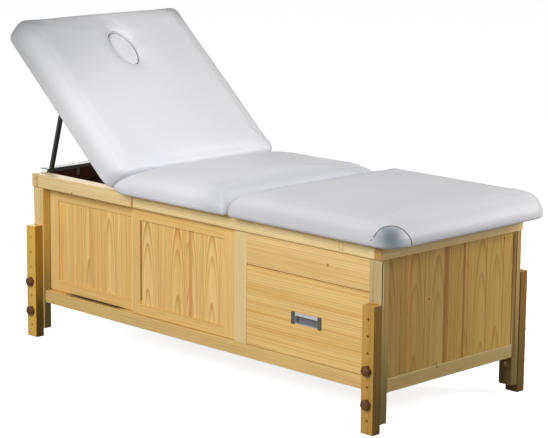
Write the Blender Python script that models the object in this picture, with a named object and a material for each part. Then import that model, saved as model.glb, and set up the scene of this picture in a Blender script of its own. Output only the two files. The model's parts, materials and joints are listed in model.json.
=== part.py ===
"""Treatment couch: pine storage cabinet, three padded sections and a raising backrest.

Metres, +Z up.  +X runs from the head end to the foot end and -Y is the front, with the doors
and the drawer.  Everything is first placed from the cabinet's head-end face and its middle
plane.  The last step stands the finished couch over the origin.
"""

import math

import bmesh
import bpy
from mathutils import Vector

# --- clearances -------------------------------------------------------------------------------
GAP = 0.0003
RUNNING_GAP = 0.0012
EDGE = 0.0012

# --- cabinet ----------------------------------------------------------------------------------
CABINET_LENGTH = 1.574
CABINET_HALF_WIDTH = 0.313
POST_WIDTH = 0.050
POST_DEPTH = 0.029
POST_BOTTOM = 0.026
TOP_RAIL_TOP = 0.5525
TOP_RAIL_HEIGHT = 0.0437
TOP_RAIL_DEPTH = 0.048
TOP_RAIL_PROUD = 0.006
END_RAIL_DEPTH = 0.027
FRONT_RAIL_JOINT = 0.508
BUTT_JOINT = 0.0022
BOTTOM_RAIL_LOW = 0.1165
BOTTOM_RAIL_TOP = 0.1573
BOTTOM_RAIL_DEPTH = 0.047
END_BOTTOM_RAIL_DEPTH = 0.022
FRONT_SETBACK = 0.004
END_SETBACK = 0.001
BOARD_SETBACK = 0.006
BOARD_THICKNESS = 0.012
MULLION = (0.9665, 1.0190)
MULLION_DEPTH = 0.024
PARTITION_X = (0.9750, 0.9870)
FLOOR_THICKNESS = 0.009
BEARER_X = (0.4545, 0.4945)
BEARER_HEIGHT = 0.040

# --- adjustable legs --------------------------------------------------------------------------
LEG_LENGTH = 0.380
LEG_WIDTH = 0.048
LEG_THICKNESS = 0.032
LEG_PROUD = 0.002
HOLE_PITCH = 0.050
HOLE_END = 0.040
HOLE_COUNT = 7
HOLE_RADIUS = 0.0042
BOLT_HOLES = (3, 5)
BOLT_RADIUS = 0.0038
NUT_RADIUS = 0.0085
NUT_HEIGHT = 0.006
CAP_RADIUS = 0.0165
CAP_HEIGHT = 0.015

# --- sliding doors ----------------------------------------------------------------------------
DOOR_THICKNESS = 0.012
FRONT_DOOR_FACE = 0.0125
REAR_DOOR_FACE = 0.0310
DOOR_LOW = 0.1592
DOOR_TOP = 0.5070
LEFT_DOOR_X = (0.0460, 0.5060)
RIGHT_DOOR_X = (0.4880, 0.9660)
LEFT_DOOR_WINDOW = (0.0920, 0.4610)
RIGHT_DOOR_WINDOW = (0.5230, 0.9140)
DOOR_WINDOW_Z = (0.1930, 0.4680)
DOOR_LIP = 0.005
DOOR_REBATE = 0.007
DOOR_PANEL = 0.005
TONGUE_WIDTH = 0.0040
TONGUE_REACH = 0.0050
GROOVE_WIDTH = 0.0052
GROOVE_DEPTH = 0.0042

# --- drawer -----------------------------------------------------------------------------------
DRAWER_X = (1.0200, 1.5230)
DRAWER_LOW = 0.1590
DRAWER_TOP = 0.4062
DRAWER_FRONT = 0.018
DRAWER_INSET = 0.007
DRAWER_WALL = 0.010
DRAWER_DEPTH = 0.500
DRAWER_SIDE_LOW = 0.1760
DRAWER_SIDE_TOP = 0.3850
DRAWER_BOTTOM = 0.006
RUNNER_X = (1.2550, 1.2900)
RUNNER_Y = (-0.2600, 0.2500)
HANDLE_CENTRE = (1.2735, 0.2790)
HANDLE_SLOT = (0.0940, 0.0340)
HANDLE_POCKET = 0.0130
HANDLE_WALL = 0.0014
HANDLE_CAP = (0.0140, 0.0380, 0.0035)

# --- padded sections --------------------------------------------------------------------------
PAD_HALF_WIDTH = 0.361
PAD_RIM = 0.069
PAD_CROWN = 0.013
PAD_END_RADIUS = 0.070
PAD_JOINT_RADIUS = 0.014
PAD_EDGE_RADIUS = 0.048
PAD_FOOT_RADIUS = 0.010
HINGE_X = 0.449
HINGE_INSET = 0.0160
SEAT_END = 0.9708
FOOT_START = 0.9732
FOOT_END = 1.645
DECK_THICKNESS = 0.012
DECK_HALF_WIDTH = 0.300
DECK_INSET = 0.014

# --- backrest ---------------------------------------------------------------------------------
BACKREST_ANGLE = math.radians(41.5)
BACKREST_LENGTH = 0.699
BACKREST_RIM = 0.079
BACKREST_CROWN = 0.011
BACKREST_END_RADIUS = 0.056
BACKREST_EDGE_RADIUS = 0.042
POCKET_DEPTH = 0.030
POCKET_HALF_WIDTH = 0.292
POCKET_END = 0.670
BATTEN = (0.018, 0.050)
BATTEN_HALF_WIDTH = 0.268
HOLE_CENTRE = 0.520
HOLE_LENGTH = 0.150
HOLE_WIDTH = 0.092
PLUG_CLEARANCE = 0.0012
DECK_HOLE_SCALE = 0.86
PLUG_TOP = 0.080

# --- backrest prop ----------------------------------------------------------------------------
PROP_PIVOT = 0.456
PROP_HEIGHT = 0.021
PROP_LENGTH = 0.317
PROP_OPEN_ANGLE = math.radians(64.7)
STRUT_Y = 0.261
STRUT_WIDTH = 0.014
STRUT_THICKNESS = 0.010
STRUT_BUTT = 0.003
ROD_RADIUS = 0.0035
BAR_X = (-0.0115, 0.0265)
BAR_HALF_LENGTH = 0.273
BAR_HEIGHT = 0.012
BAR_STEEL = 0.003
STRAP_Y = (-0.142, 0.142)
STRAP_WIDTH = 0.010
STRAP_DROP = 0.036

# --- piano hinge ------------------------------------------------------------------------------
HINGE_HALF_LENGTH = 0.258
KNUCKLE_COUNT = 9
KNUCKLE_RADIUS = 0.0040
PIN_RADIUS = 0.0018
LEAF_THICKNESS = 0.0020
LEAF_LENGTH = 0.036
LEAF_RELIEF = 0.0052

FINISHES = {
    "pine": ((0.72, 0.50, 0.22, 1.0), 0.45, 0.0),
    "plywood": ((0.62, 0.45, 0.26, 1.0), 0.60, 0.0),
    "leather": ((0.86, 0.86, 0.89, 1.0), 0.42, 0.0),
    "steel": ((0.05, 0.055, 0.055, 1.0), 0.40, 0.9),
    "zinc": ((0.55, 0.55, 0.56, 1.0), 0.35, 1.0),
    "cap": ((0.11, 0.045, 0.030, 1.0), 0.40, 0.0),
    "aluminium": ((0.78, 0.79, 0.80, 1.0), 0.30, 1.0),
    "grey_plastic": ((0.22, 0.23, 0.22, 1.0), 0.50, 0.0),
}


def clear_scene():
    for old in list(bpy.data.objects):
        bpy.data.objects.remove(old, do_unlink=True)


def empty(name, location=(0.0, 0.0, 0.0), pitch=0.0, parent=None):
    """A joint frame: pitch turns it about +Y."""
    frame = bpy.data.objects.new(name, None)
    bpy.context.scene.collection.objects.link(frame)
    frame.empty_display_size = 0.05
    frame.location = location
    frame.rotation_euler = (0.0, pitch, 0.0)
    frame.parent = parent
    return frame


def paint(obj, finish):
    color, roughness, metallic = FINISHES[finish]
    material = bpy.data.materials.new(obj.name)
    material.use_nodes = True
    shader = material.node_tree.nodes["Principled BSDF"]
    shader.inputs["Base Color"].default_value = color
    shader.inputs["Roughness"].default_value = roughness
    shader.inputs["Metallic"].default_value = metallic
    obj.data.materials.append(material)


# --- shapes added to a bmesh ------------------------------------------------------------------
def add_box(shape, x, y, z):
    corners = bmesh.ops.create_cube(shape, size=1.0)["verts"]
    spans = (sorted(x), sorted(y), sorted(z))
    for corner in corners:
        for axis in range(3):
            low, high = spans[axis]
            corner.co[axis] = low if corner.co[axis] < 0.0 else high


def add_rings(shape, rings):
    """Closed body through rings with equal point counts, capped at both ends."""
    loops = [[shape.verts.new(point) for point in ring] for ring in rings]
    count = len(loops[0])
    for lower, upper in zip(loops, loops[1:]):
        for i in range(count):
            j = (i + 1) % count
            shape.faces.new((lower[i], lower[j], upper[j], upper[i]))
    shape.faces.new(list(reversed(loops[0])))
    shape.faces.new(loops[-1])


def add_turned(shape, centre, axis, profile, sides, turn=0.0):
    """Turned body about a line along an axis letter; profile holds (distance, radius) pairs."""
    along = "XYZ".index(axis)
    across = [(along + 1) % 3, (along + 2) % 3]
    rings = []
    for distance, radius in profile:
        ring = []
        for i in range(sides):
            angle = turn + 2.0 * math.pi * i / sides
            point = list(centre)
            point[along] += distance
            point[across[0]] += radius * math.cos(angle)
            point[across[1]] += radius * math.sin(angle)
            ring.append(point)
        rings.append(ring)
    add_rings(shape, rings)


def add_rod(shape, centre, axis, length, radius, sides=12, turn=0.0):
    add_turned(shape, centre, axis, ((-length / 2, radius), (length / 2, radius)), sides, turn)


def rounded_outline(x, y, inset, radii, z, steps):
    """Counter-clockwise rounded rectangle, drawn in by inset; radii are the +X and -X corners'."""
    points = []
    for quarter, (sx, sy) in enumerate(((1, 1), (-1, 1), (-1, -1), (1, -1))):
        radius = radii[0] if sx > 0 else radii[1]
        reach = max(radius - inset, 0.002)
        corner_x = (x[1] if sx > 0 else x[0]) - sx * (inset + reach)
        corner_y = (y[1] if sy > 0 else y[0]) - sy * (inset + reach)
        for i in range(steps + 1):
            angle = (quarter + i / steps) * math.pi / 2
            points.append((corner_x + reach * math.cos(angle), corner_y + reach * math.sin(angle), z))
    return points


def add_pad(shape, x, y, bottom, rim, crown, radii, edge_radius):
    """Upholstered section: tight lower edge, generous rounded upper edge and a crowned top."""
    steps = 5
    levels = []
    for angle in (0.0, 45.0, 90.0):
        turn = math.radians(angle)
        inset = PAD_FOOT_RADIUS * (1.0 - math.sin(turn))
        levels.append((inset, bottom + PAD_FOOT_RADIUS * (1.0 - math.cos(turn))))
    for angle in (0.0, 22.5, 45.0, 67.5, 84.0):
        turn = math.radians(angle)
        inset = edge_radius * (1.0 - math.cos(turn))
        levels.append((inset, bottom + rim - edge_radius * (1.0 - math.sin(turn))))
    for inset, rise in ((0.11, 0.70), (0.19, 1.0)):
        levels.append((inset, bottom + rim + crown * rise))
    rings = [rounded_outline(x, y, inset, radii, z, steps) for inset, z in levels]
    add_rings(shape, rings)


def add_oval(shape, centre, length, width, z, sides=28):
    rings = []
    for height in z:
        ring = []
        for i in range(sides):
            angle = 2.0 * math.pi * i / sides
            px = centre + length / 2 * math.cos(angle)
            ring.append((px, width / 2 * math.sin(angle), height))
        rings.append(ring)
    add_rings(shape, rings)


# --- objects ----------------------------------------------------------------------------------
def build(name, parent, draw, finish=None, smooth=False):
    """Object from draw(bmesh), its origin at the middle of its own box."""
    shape = bmesh.new()
    draw(shape)
    lows = [min(v.co[axis] for v in shape.verts) for axis in range(3)]
    highs = [max(v.co[axis] for v in shape.verts) for axis in range(3)]
    middle = Vector([(low + high) / 2 for low, high in zip(lows, highs)])
    bmesh.ops.translate(shape, verts=shape.verts, vec=-middle)
    bmesh.ops.recalc_face_normals(shape, faces=shape.faces)
    mesh = bpy.data.meshes.new(name)
    shape.to_mesh(mesh)
    shape.free()
    obj = bpy.data.objects.new(name, mesh)
    bpy.context.scene.collection.objects.link(obj)
    obj.location = middle
    obj.parent = parent
    if finish:
        paint(obj, finish)
    if smooth:
        mesh.shade_smooth()
        mesh.set_sharp_from_angle(angle=math.radians(40.0))
    return obj


def box(name, parent, x, y, z, finish="pine"):
    return build(name, parent, lambda shape: add_box(shape, x, y, z), finish)


def cut(obj, parent, draw):
    """Takes draw(bmesh) out of the object."""
    cutter = build("cut_" + obj.name, parent, draw)
    cutter.hide_render = True
    cutter.display_type = "WIRE"
    boolean = obj.modifiers.new("cut", "BOOLEAN")
    boolean.operation = "DIFFERENCE"
    boolean.solver = "EXACT"
    boolean.object = cutter


def join(obj, parent, label, draw):
    """Makes draw(bmesh) one body with the object."""
    extra = build(f"join_{label}_{obj.name}", parent, draw)
    extra.hide_render = True
    extra.display_type = "WIRE"
    union = obj.modifiers.new("join_" + label, "BOOLEAN")
    union.operation = "UNION"
    union.solver = "EXACT"
    union.object = extra


def ease(obj, width=EDGE, segments=1):
    """Breaks the object's sharp edges."""
    bevel = obj.modifiers.new("eased_edges", "BEVEL")
    bevel.width = width
    bevel.segments = segments
    bevel.limit_method = "ANGLE"
    bevel.angle_limit = math.radians(40.0)
    return obj


def mirrored(span):
    return (-span[1], -span[0])


def inward(side, near, far):
    """Y span from two depths behind the front (side -1) or back (side +1) post face."""
    return tuple(sorted((side * (CABINET_HALF_WIDTH - near), side * (CABINET_HALF_WIDTH - far))))


# --- cabinet ----------------------------------------------------------------------------------
SIDES = (("front", -1), ("back", 1))
RAIL_LOW = TOP_RAIL_TOP - TOP_RAIL_HEIGHT
INNER_Y = CABINET_HALF_WIDTH - POST_DEPTH - GAP


def post_x(end):
    start = 0.0 if end == "head" else CABINET_LENGTH - POST_WIDTH
    return (start, start + POST_WIDTH)


def leg_x(end):
    start = -LEG_PROUD if end == "head" else CABINET_LENGTH + LEG_PROUD - LEG_WIDTH
    return (start, start + LEG_WIDTH)


def hole_heights():
    return [LEG_LENGTH - HOLE_END - HOLE_PITCH * i for i in range(HOLE_COUNT)]


def bolt_places():
    """Middle of each bolt, as (x, side, z)."""
    heights = hole_heights()
    return [
        (sum(leg_x(end)) / 2, side, heights[index])
        for end in ("head", "foot")
        for _, side in SIDES
        for index in BOLT_HOLES
    ]


def make_posts(table):
    for end in ("head", "foot"):
        for label, side in SIDES:
            y = inward(side, 0.0, POST_DEPTH)
            z = (POST_BOTTOM, RAIL_LOW - GAP)
            post = box(f"{label}_{end}_post", table, post_x(end), y, z)

            def drill(shape, end=end, side=side):
                for x, bolt_side, z in bolt_places():
                    if bolt_side != side or abs(x - sum(leg_x(end)) / 2) > POST_WIDTH:
                        continue
                    middle = side * (CABINET_HALF_WIDTH - POST_DEPTH / 2)
                    add_rod(shape, (x, middle, z), "Y", POST_DEPTH * 1.5, HOLE_RADIUS)

            def counterbore(shape, end=end, side=side):
                inner_face = side * (CABINET_HALF_WIDTH - POST_DEPTH)
                for x, bolt_side, z in bolt_places():
                    if bolt_side != side or abs(x - sum(leg_x(end)) / 2) > POST_WIDTH:
                        continue
                    add_rod(shape, (x, inner_face, z), "Y", 2 * NUT_HEIGHT + 0.002, NUT_RADIUS + 0.0012)

            ease(post)
            cut(post, table, drill)
            cut(post, table, counterbore)


def make_rails(table):
    outer = CABINET_HALF_WIDTH + TOP_RAIL_PROUD
    top = (RAIL_LOW, TOP_RAIL_TOP)
    first = END_RAIL_DEPTH + GAP
    last = CABINET_LENGTH - first
    front = (-outer, -outer + TOP_RAIL_DEPTH)
    joint = (FRONT_RAIL_JOINT - BUTT_JOINT / 2, FRONT_RAIL_JOINT + BUTT_JOINT / 2)
    groove_start = POST_WIDTH + GAP
    groove_end = (MULLION[0] - GAP, PARTITION_X[0] - GAP)
    groove_z = (RAIL_LOW - 0.01, RAIL_LOW + GROOVE_DEPTH)
    head_part = ease(box("front_top_rail_head", table, (first, joint[0]), front, top))
    head_grooves = ((groove_start, joint[0] + 0.01), (groove_start, joint[0] + 0.01))
    cut(head_part, table, lambda s: add_door_grooves(s, head_grooves, groove_z))
    foot_part = ease(box("front_top_rail_foot", table, (joint[1], last), front, top))
    foot_grooves = ((joint[1] - 0.01, groove_end[0]), (joint[1] - 0.01, groove_end[1]))
    cut(foot_part, table, lambda s: add_door_grooves(s, foot_grooves, groove_z))
    ease(box("back_top_rail", table, (first, last), mirrored(front), top))
    ease(box("head_top_rail", table, (0.0, END_RAIL_DEPTH), (-outer, outer), top))
    ease(box("foot_top_rail", table, (CABINET_LENGTH - END_RAIL_DEPTH, CABINET_LENGTH), (-outer, outer), top))

    bottom = (BOTTOM_RAIL_LOW, BOTTOM_RAIL_TOP)
    between_posts = (POST_WIDTH + GAP, CABINET_LENGTH - POST_WIDTH - GAP)
    for label, side in SIDES:
        y = inward(side, FRONT_SETBACK, FRONT_SETBACK + BOTTOM_RAIL_DEPTH)
        rail = ease(box(f"{label}_bottom_rail", table, between_posts, y, bottom))
        if side == -1:
            grooves = ((groove_start - 0.01, groove_end[0]), (groove_start - 0.01, groove_end[1]))
            groove_z = (BOTTOM_RAIL_TOP - GROOVE_DEPTH, BOTTOM_RAIL_TOP + 0.01)
            cut(rail, table, lambda s: add_door_grooves(s, grooves, groove_z))
    head = (END_SETBACK, END_SETBACK + END_BOTTOM_RAIL_DEPTH)
    foot = (CABINET_LENGTH - head[1], CABINET_LENGTH - head[0])
    for label, x in (("head", head), ("foot", foot)):
        ease(box(f"{label}_bottom_rail", table, x, (-INNER_Y, INNER_Y), bottom))


def add_grooved_panel(shape, span, joints, depth, z, along_y):
    """Glued-up panel whose board joints show as small V grooves on the face at depth[0]."""
    groove = 0.0008
    face, back = depth
    inward_step = groove * 1.3 if back > face else -groove * 1.3
    outline = [(span[0], face)]
    for share in joints:
        middle = span[0] + share * (span[1] - span[0])
        outline += [(middle - groove, face), (middle, face + inward_step), (middle + groove, face)]
    outline += [(span[1], face), (span[1], back), (span[0], back)]
    if along_y:
        outline = [(across, along) for along, across in outline]
    add_rings(shape, [[(px, py, height) for px, py in outline] for height in z])


def make_panels(table):
    z = (BOTTOM_RAIL_TOP + GAP, RAIL_LOW - GAP)
    end_joints = (0.10, 0.285, 0.47, 0.627, 0.776, 0.917)
    y = (-INNER_Y, INNER_Y)
    head = (BOARD_SETBACK, BOARD_SETBACK + BOARD_THICKNESS)
    foot = (CABINET_LENGTH - head[0], CABINET_LENGTH - head[1])
    for label, depth in (("head", head), ("foot", foot)):
        name = f"{label}_end_boards"
        build(name, table, lambda s, d=depth: add_grooved_panel(s, y, end_joints, d, z, True), "pine")

    back_joints = [i / 12 for i in range(1, 12)]
    x = (POST_WIDTH + GAP, CABINET_LENGTH - POST_WIDTH - GAP)
    depth = (CABINET_HALF_WIDTH - BOARD_SETBACK, CABINET_HALF_WIDTH - BOARD_SETBACK - BOARD_THICKNESS)
    build("back_boards", table, lambda s: add_grooved_panel(s, x, back_joints, depth, z, False), "pine")

    mullion_y = inward(-1, FRONT_SETBACK, FRONT_SETBACK + MULLION_DEPTH)
    ease(box("mullion", table, MULLION, mullion_y, z))

    fixed_x = (MULLION[1] + GAP, CABINET_LENGTH - POST_WIDTH - GAP)
    fixed_y = inward(-1, FRONT_SETBACK, FRONT_SETBACK + DRAWER_FRONT)
    fixed_z = (DRAWER_TOP + 0.0024, z[1])
    ease(box("drawer_top_panel", table, fixed_x, fixed_y, fixed_z))

    floor_y = CABINET_HALF_WIDTH - FRONT_SETBACK - BOTTOM_RAIL_DEPTH - GAP
    floor_x = END_SETBACK + END_BOTTOM_RAIL_DEPTH + GAP
    floor_z = (BOTTOM_RAIL_TOP - FLOOR_THICKNESS, BOTTOM_RAIL_TOP)
    box("cabinet_floor", table, (floor_x, CABINET_LENGTH - floor_x), (-floor_y, floor_y), floor_z, "plywood")

    partition_y = (-CABINET_HALF_WIDTH + FRONT_SETBACK + MULLION_DEPTH + GAP, depth[1] - GAP)
    box("partition", table, PARTITION_X, partition_y, z, "plywood")

    bearer_y = CABINET_HALF_WIDTH + TOP_RAIL_PROUD - TOP_RAIL_DEPTH - GAP
    bearer_z = (TOP_RAIL_TOP - 0.0025 - BEARER_HEIGHT, TOP_RAIL_TOP - 0.0025)
    ease(box("hinge_bearer", table, BEARER_X, (-bearer_y, bearer_y), bearer_z))


def add_door_grooves(shape, x, z):
    """Room for the tongues of both doors; x holds the front and the rear groove's ends."""
    for face, span in zip((FRONT_DOOR_FACE, REAR_DOOR_FACE), x):
        middle = face + DOOR_THICKNESS / 2
        add_box(shape, span, inward(-1, middle - GROOVE_WIDTH / 2, middle + GROOVE_WIDTH / 2), z)


def make_leg_knobs(table):
    """Domed hexagonal caps of the bolts that hold each leg, against the leg's outer face."""
    face = CABINET_HALF_WIDTH + GAP + LEG_THICKNESS + GAP
    profile = (
        (0.0, CAP_RADIUS * 0.93),
        (0.0012, CAP_RADIUS),
        (0.0105, CAP_RADIUS),
        (0.0135, CAP_RADIUS * 0.88),
        (CAP_HEIGHT, CAP_RADIUS * 0.62),
    )
    heights = hole_heights()
    for end in ("head", "foot"):
        for label, side in SIDES:
            for level, index in zip(("upper", "lower"), BOLT_HOLES):
                centre = (sum(leg_x(end)) / 2, side * face, heights[index])
                turned = [(side * distance, radius) for distance, radius in profile]
                name = f"{label}_{end}_{level}_leg_knob"
                turn = math.radians(15.0)
                knob = build(name, table, lambda s: add_turned(s, centre, "Y", turned, 6, turn), "cap")
                ease(knob, 0.0008)


def make_legs(table):
    for end in ("head", "foot"):
        for label, side in SIDES:
            x = leg_x(end)
            slide = empty(f"{label}_{end}_leg_slide", (sum(x) / 2, side * CABINET_HALF_WIDTH, 0.0), 0.0, table)
            local_x = (-LEG_WIDTH / 2, LEG_WIDTH / 2)
            local_y = tuple(sorted((side * GAP, side * (GAP + LEG_THICKNESS))))
            leg = box(f"{label}_{end}_leg", slide, local_x, local_y, (0.0, LEG_LENGTH))

            def drill(shape, side=side):
                for z in hole_heights():
                    add_rod(shape, (0.0, side * LEG_THICKNESS / 2, z), "Y", LEG_THICKNESS * 2, HOLE_RADIUS)

            ease(leg)
            cut(leg, slide, drill)


# --- doors ------------------------------------------------------------------------------------
def make_door(table, label, x, window, face):
    slide = empty(f"{label}_door_slide", (0.0, 0.0, 0.0), 0.0, table)
    y = inward(-1, face, face + DOOR_THICKNESS)
    frame = box(f"{label}_door_frame", slide, x, y, (DOOR_LOW, DOOR_TOP))
    middle = -CABINET_HALF_WIDTH + face + DOOR_THICKNESS / 2

    def opening(shape):
        add_box(shape, window, (y[0] - 0.01, y[1] + 0.01), DOOR_WINDOW_Z)

    def rebate(shape):
        wide = (window[0] - DOOR_REBATE, window[1] + DOOR_REBATE)
        tall = (DOOR_WINDOW_Z[0] - DOOR_REBATE, DOOR_WINDOW_Z[1] + DOOR_REBATE)
        add_box(shape, wide, (y[0] + DOOR_LIP, y[1] + 0.01), tall)

    def tongue(low, high):
        span = (middle - TONGUE_WIDTH / 2, middle + TONGUE_WIDTH / 2)
        return lambda shape: add_box(shape, (max(x[0], POST_WIDTH + 0.002), x[1]), span, (low, high))

    ease(frame, 0.0008)
    cut(frame, slide, opening)
    cut(frame, slide, rebate)
    join(frame, slide, "lower", tongue(DOOR_LOW - TONGUE_REACH, DOOR_LOW + 0.003))
    join(frame, slide, "upper", tongue(DOOR_TOP - 0.003, DOOR_TOP + TONGUE_REACH))

    edge = DOOR_REBATE - GAP
    panel_x = (window[0] - edge, window[1] + edge)
    panel_y = (y[0] + DOOR_LIP + GAP, y[0] + DOOR_LIP + GAP + DOOR_PANEL)
    panel_z = (DOOR_WINDOW_Z[0] - edge, DOOR_WINDOW_Z[1] + edge)
    box(f"{label}_door_panel", slide, panel_x, panel_y, panel_z)


# --- drawer -----------------------------------------------------------------------------------
def make_drawer(table):
    slide = empty("drawer_slide", (0.0, -CABINET_HALF_WIDTH, 0.0), 0.0, table)
    face = FRONT_SETBACK
    back_of_front = face + DRAWER_FRONT
    front = box("drawer_front", slide, DRAWER_X, (face, back_of_front), (DRAWER_LOW, DRAWER_TOP))
    cx, cz = HANDLE_CENTRE
    half_x = HANDLE_SLOT[0] / 2
    half_z = HANDLE_SLOT[1] / 2

    def pocket(shape):
        reach_x = half_x + GAP
        reach_z = half_z + GAP
        span = (face - 0.01, face + HANDLE_POCKET + GAP)
        add_box(shape, (cx - reach_x, cx + reach_x), span, (cz - reach_z, cz + reach_z))

    ease(front)
    cut(front, slide, pocket)

    tray_y = (face - 0.0012, face + HANDLE_POCKET)
    tray = box("handle_tray", slide, (cx - half_x, cx + half_x), tray_y, (cz - half_z, cz + half_z), "aluminium")

    def tray_mouth(shape):
        x = (cx - half_x + HANDLE_WALL, cx + half_x - HANDLE_WALL)
        z = (cz - half_z + HANDLE_WALL, cz + half_z - HANDLE_WALL)
        add_box(shape, x, (face + 0.0008, face + HANDLE_POCKET - HANDLE_WALL), z)

    def tray_slot(shape):
        x = (cx - half_x + HANDLE_WALL, cx + half_x - HANDLE_WALL)
        z = (cz - half_z + HANDLE_WALL, cz + half_z - HANDLE_WALL - 0.0085)
        add_box(shape, x, (face - 0.01, face + 0.0040), z)

    cut(tray, slide, tray_mouth)
    cut(tray, slide, tray_slot)

    width, height, proud = HANDLE_CAP
    for label, sign in (("left", -1), ("right", 1)):
        near = cx + sign * (half_x + GAP)
        cap_x = (near, near + sign * width)
        cap_z = (cz - height / 2, cz + height / 2)
        ease(box(f"handle_{label}_cap", slide, cap_x, (face - GAP - proud, face - GAP), cap_z, "grey_plastic"))

    x = (DRAWER_X[0] + DRAWER_INSET, DRAWER_X[1] - DRAWER_INSET)
    y = (back_of_front + GAP, back_of_front + DRAWER_DEPTH)
    z = (DRAWER_SIDE_LOW, DRAWER_SIDE_TOP)
    left = (x[0], x[0] + DRAWER_WALL)
    right = (x[1] - DRAWER_WALL, x[1])
    inner = (left[1] + GAP, right[0] - GAP)
    box("drawer_left_side", slide, left, y, z)
    box("drawer_right_side", slide, right, y, z)
    box("drawer_back", slide, inner, (y[1] - DRAWER_WALL, y[1]), z)
    bottom_y = (y[0], y[1] - DRAWER_WALL - GAP)
    box("drawer_bottom", slide, inner, bottom_y, (z[0], z[0] + DRAWER_BOTTOM), "plywood")
    box("drawer_runner", table, RUNNER_X, RUNNER_Y, (BOTTOM_RAIL_TOP + GAP, z[0] - RUNNING_GAP))


# --- padded sections --------------------------------------------------------------------------
def make_fixed_section(table, label, x, radii):
    width = (-PAD_HALF_WIDTH, PAD_HALF_WIDTH)
    bottom = TOP_RAIL_TOP + GAP
    deck_x = (x[0] + DECK_INSET, min(x[1] - DECK_INSET, CABINET_LENGTH))
    deck_y = (-DECK_HALF_WIDTH, DECK_HALF_WIDTH)
    deck_z = (bottom, bottom + DECK_THICKNESS)
    box(f"{label}_deck", table, deck_x, deck_y, deck_z, "plywood")

    def shape_pad(shape):
        add_pad(shape, x, width, bottom, PAD_RIM, PAD_CROWN, radii, PAD_EDGE_RADIUS)

    pad = build(f"{label}_cushion", table, shape_pad, "leather", True)

    def pocket(shape):
        cut_x = (deck_x[0] - GAP, deck_x[1] + GAP)
        cut_y = (deck_y[0] - GAP, deck_y[1] + GAP)
        add_box(shape, cut_x, cut_y, (bottom - 0.05, deck_z[1] + GAP))

    cut(pad, table, pocket)


def make_backrest(hinge):
    """Built lying flat in the hinge's frame, with -X towards the head end."""
    x = (-BACKREST_LENGTH, -HINGE_INSET)
    width = (-PAD_HALF_WIDTH, PAD_HALF_WIDTH)
    pocket_x = (-POCKET_END, -BATTEN[0] + GAP)
    pocket_y = (-POCKET_HALF_WIDTH, POCKET_HALF_WIDTH)
    deck_z = (POCKET_DEPTH, POCKET_DEPTH + DECK_THICKNESS)


    def shape_pad(shape):
        radii = (PAD_JOINT_RADIUS, BACKREST_END_RADIUS)
        add_pad(shape, x, width, GAP, BACKREST_RIM, BACKREST_CROWN, radii, BACKREST_EDGE_RADIUS)

    pad = build("backrest_cushion", hinge, shape_pad, "leather", True)
    cut(pad, hinge, lambda s: add_box(s, (pocket_x[0], 0.02), pocket_y, (-0.05, deck_z[1] + GAP)))
    hole_z = (POCKET_DEPTH - 0.01, BACKREST_RIM + 0.05)
    cut(pad, hinge, lambda s: add_oval(s, -HOLE_CENTRE, HOLE_LENGTH, HOLE_WIDTH, hole_z))

    deck_x = (pocket_x[0] + GAP, pocket_x[1] - GAP)
    deck_y = (pocket_y[0] + GAP, pocket_y[1] - GAP)
    deck = box("backrest_deck", hinge, deck_x, deck_y, deck_z, "plywood")
    deck_hole = (HOLE_LENGTH * DECK_HOLE_SCALE, HOLE_WIDTH * DECK_HOLE_SCALE)
    hole_z = (POCKET_DEPTH - 0.01, deck_z[1] + 0.01)
    cut(deck, hinge, lambda s: add_oval(s, -HOLE_CENTRE, deck_hole[0], deck_hole[1], hole_z))

    batten_y = (-BATTEN_HALF_WIDTH, BATTEN_HALF_WIDTH)
    batten_x = (-BATTEN[1], -BATTEN[0])
    ease(box("backrest_hinge_batten", hinge, batten_x, batten_y, (LEAF_THICKNESS + 2 * GAP, POCKET_DEPTH - GAP)))

    plug_slide = empty("face_plug_slide", (-HOLE_CENTRE, 0.0, deck_z[1]), 0.0, hinge)
    length = HOLE_LENGTH - 2 * PLUG_CLEARANCE
    breadth = HOLE_WIDTH - 2 * PLUG_CLEARANCE
    reach = PLUG_TOP - deck_z[1]

    def plug(shape):
        rings = []
        for inset, z in ((0.0, GAP), (0.0, reach - 0.006), (0.002, reach - 0.002), (0.007, reach), (0.024, reach + 0.003)):
            ring = []
            for i in range(28):
                angle = 2.0 * math.pi * i / 28
                px = (length / 2 - inset) * math.cos(angle)
                py = (breadth / 2 - inset) * math.sin(angle)
                ring.append((px, py, z))
            rings.append(ring)
        add_rings(shape, rings)

    build("face_plug", plug_slide, plug, "leather", True)


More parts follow.
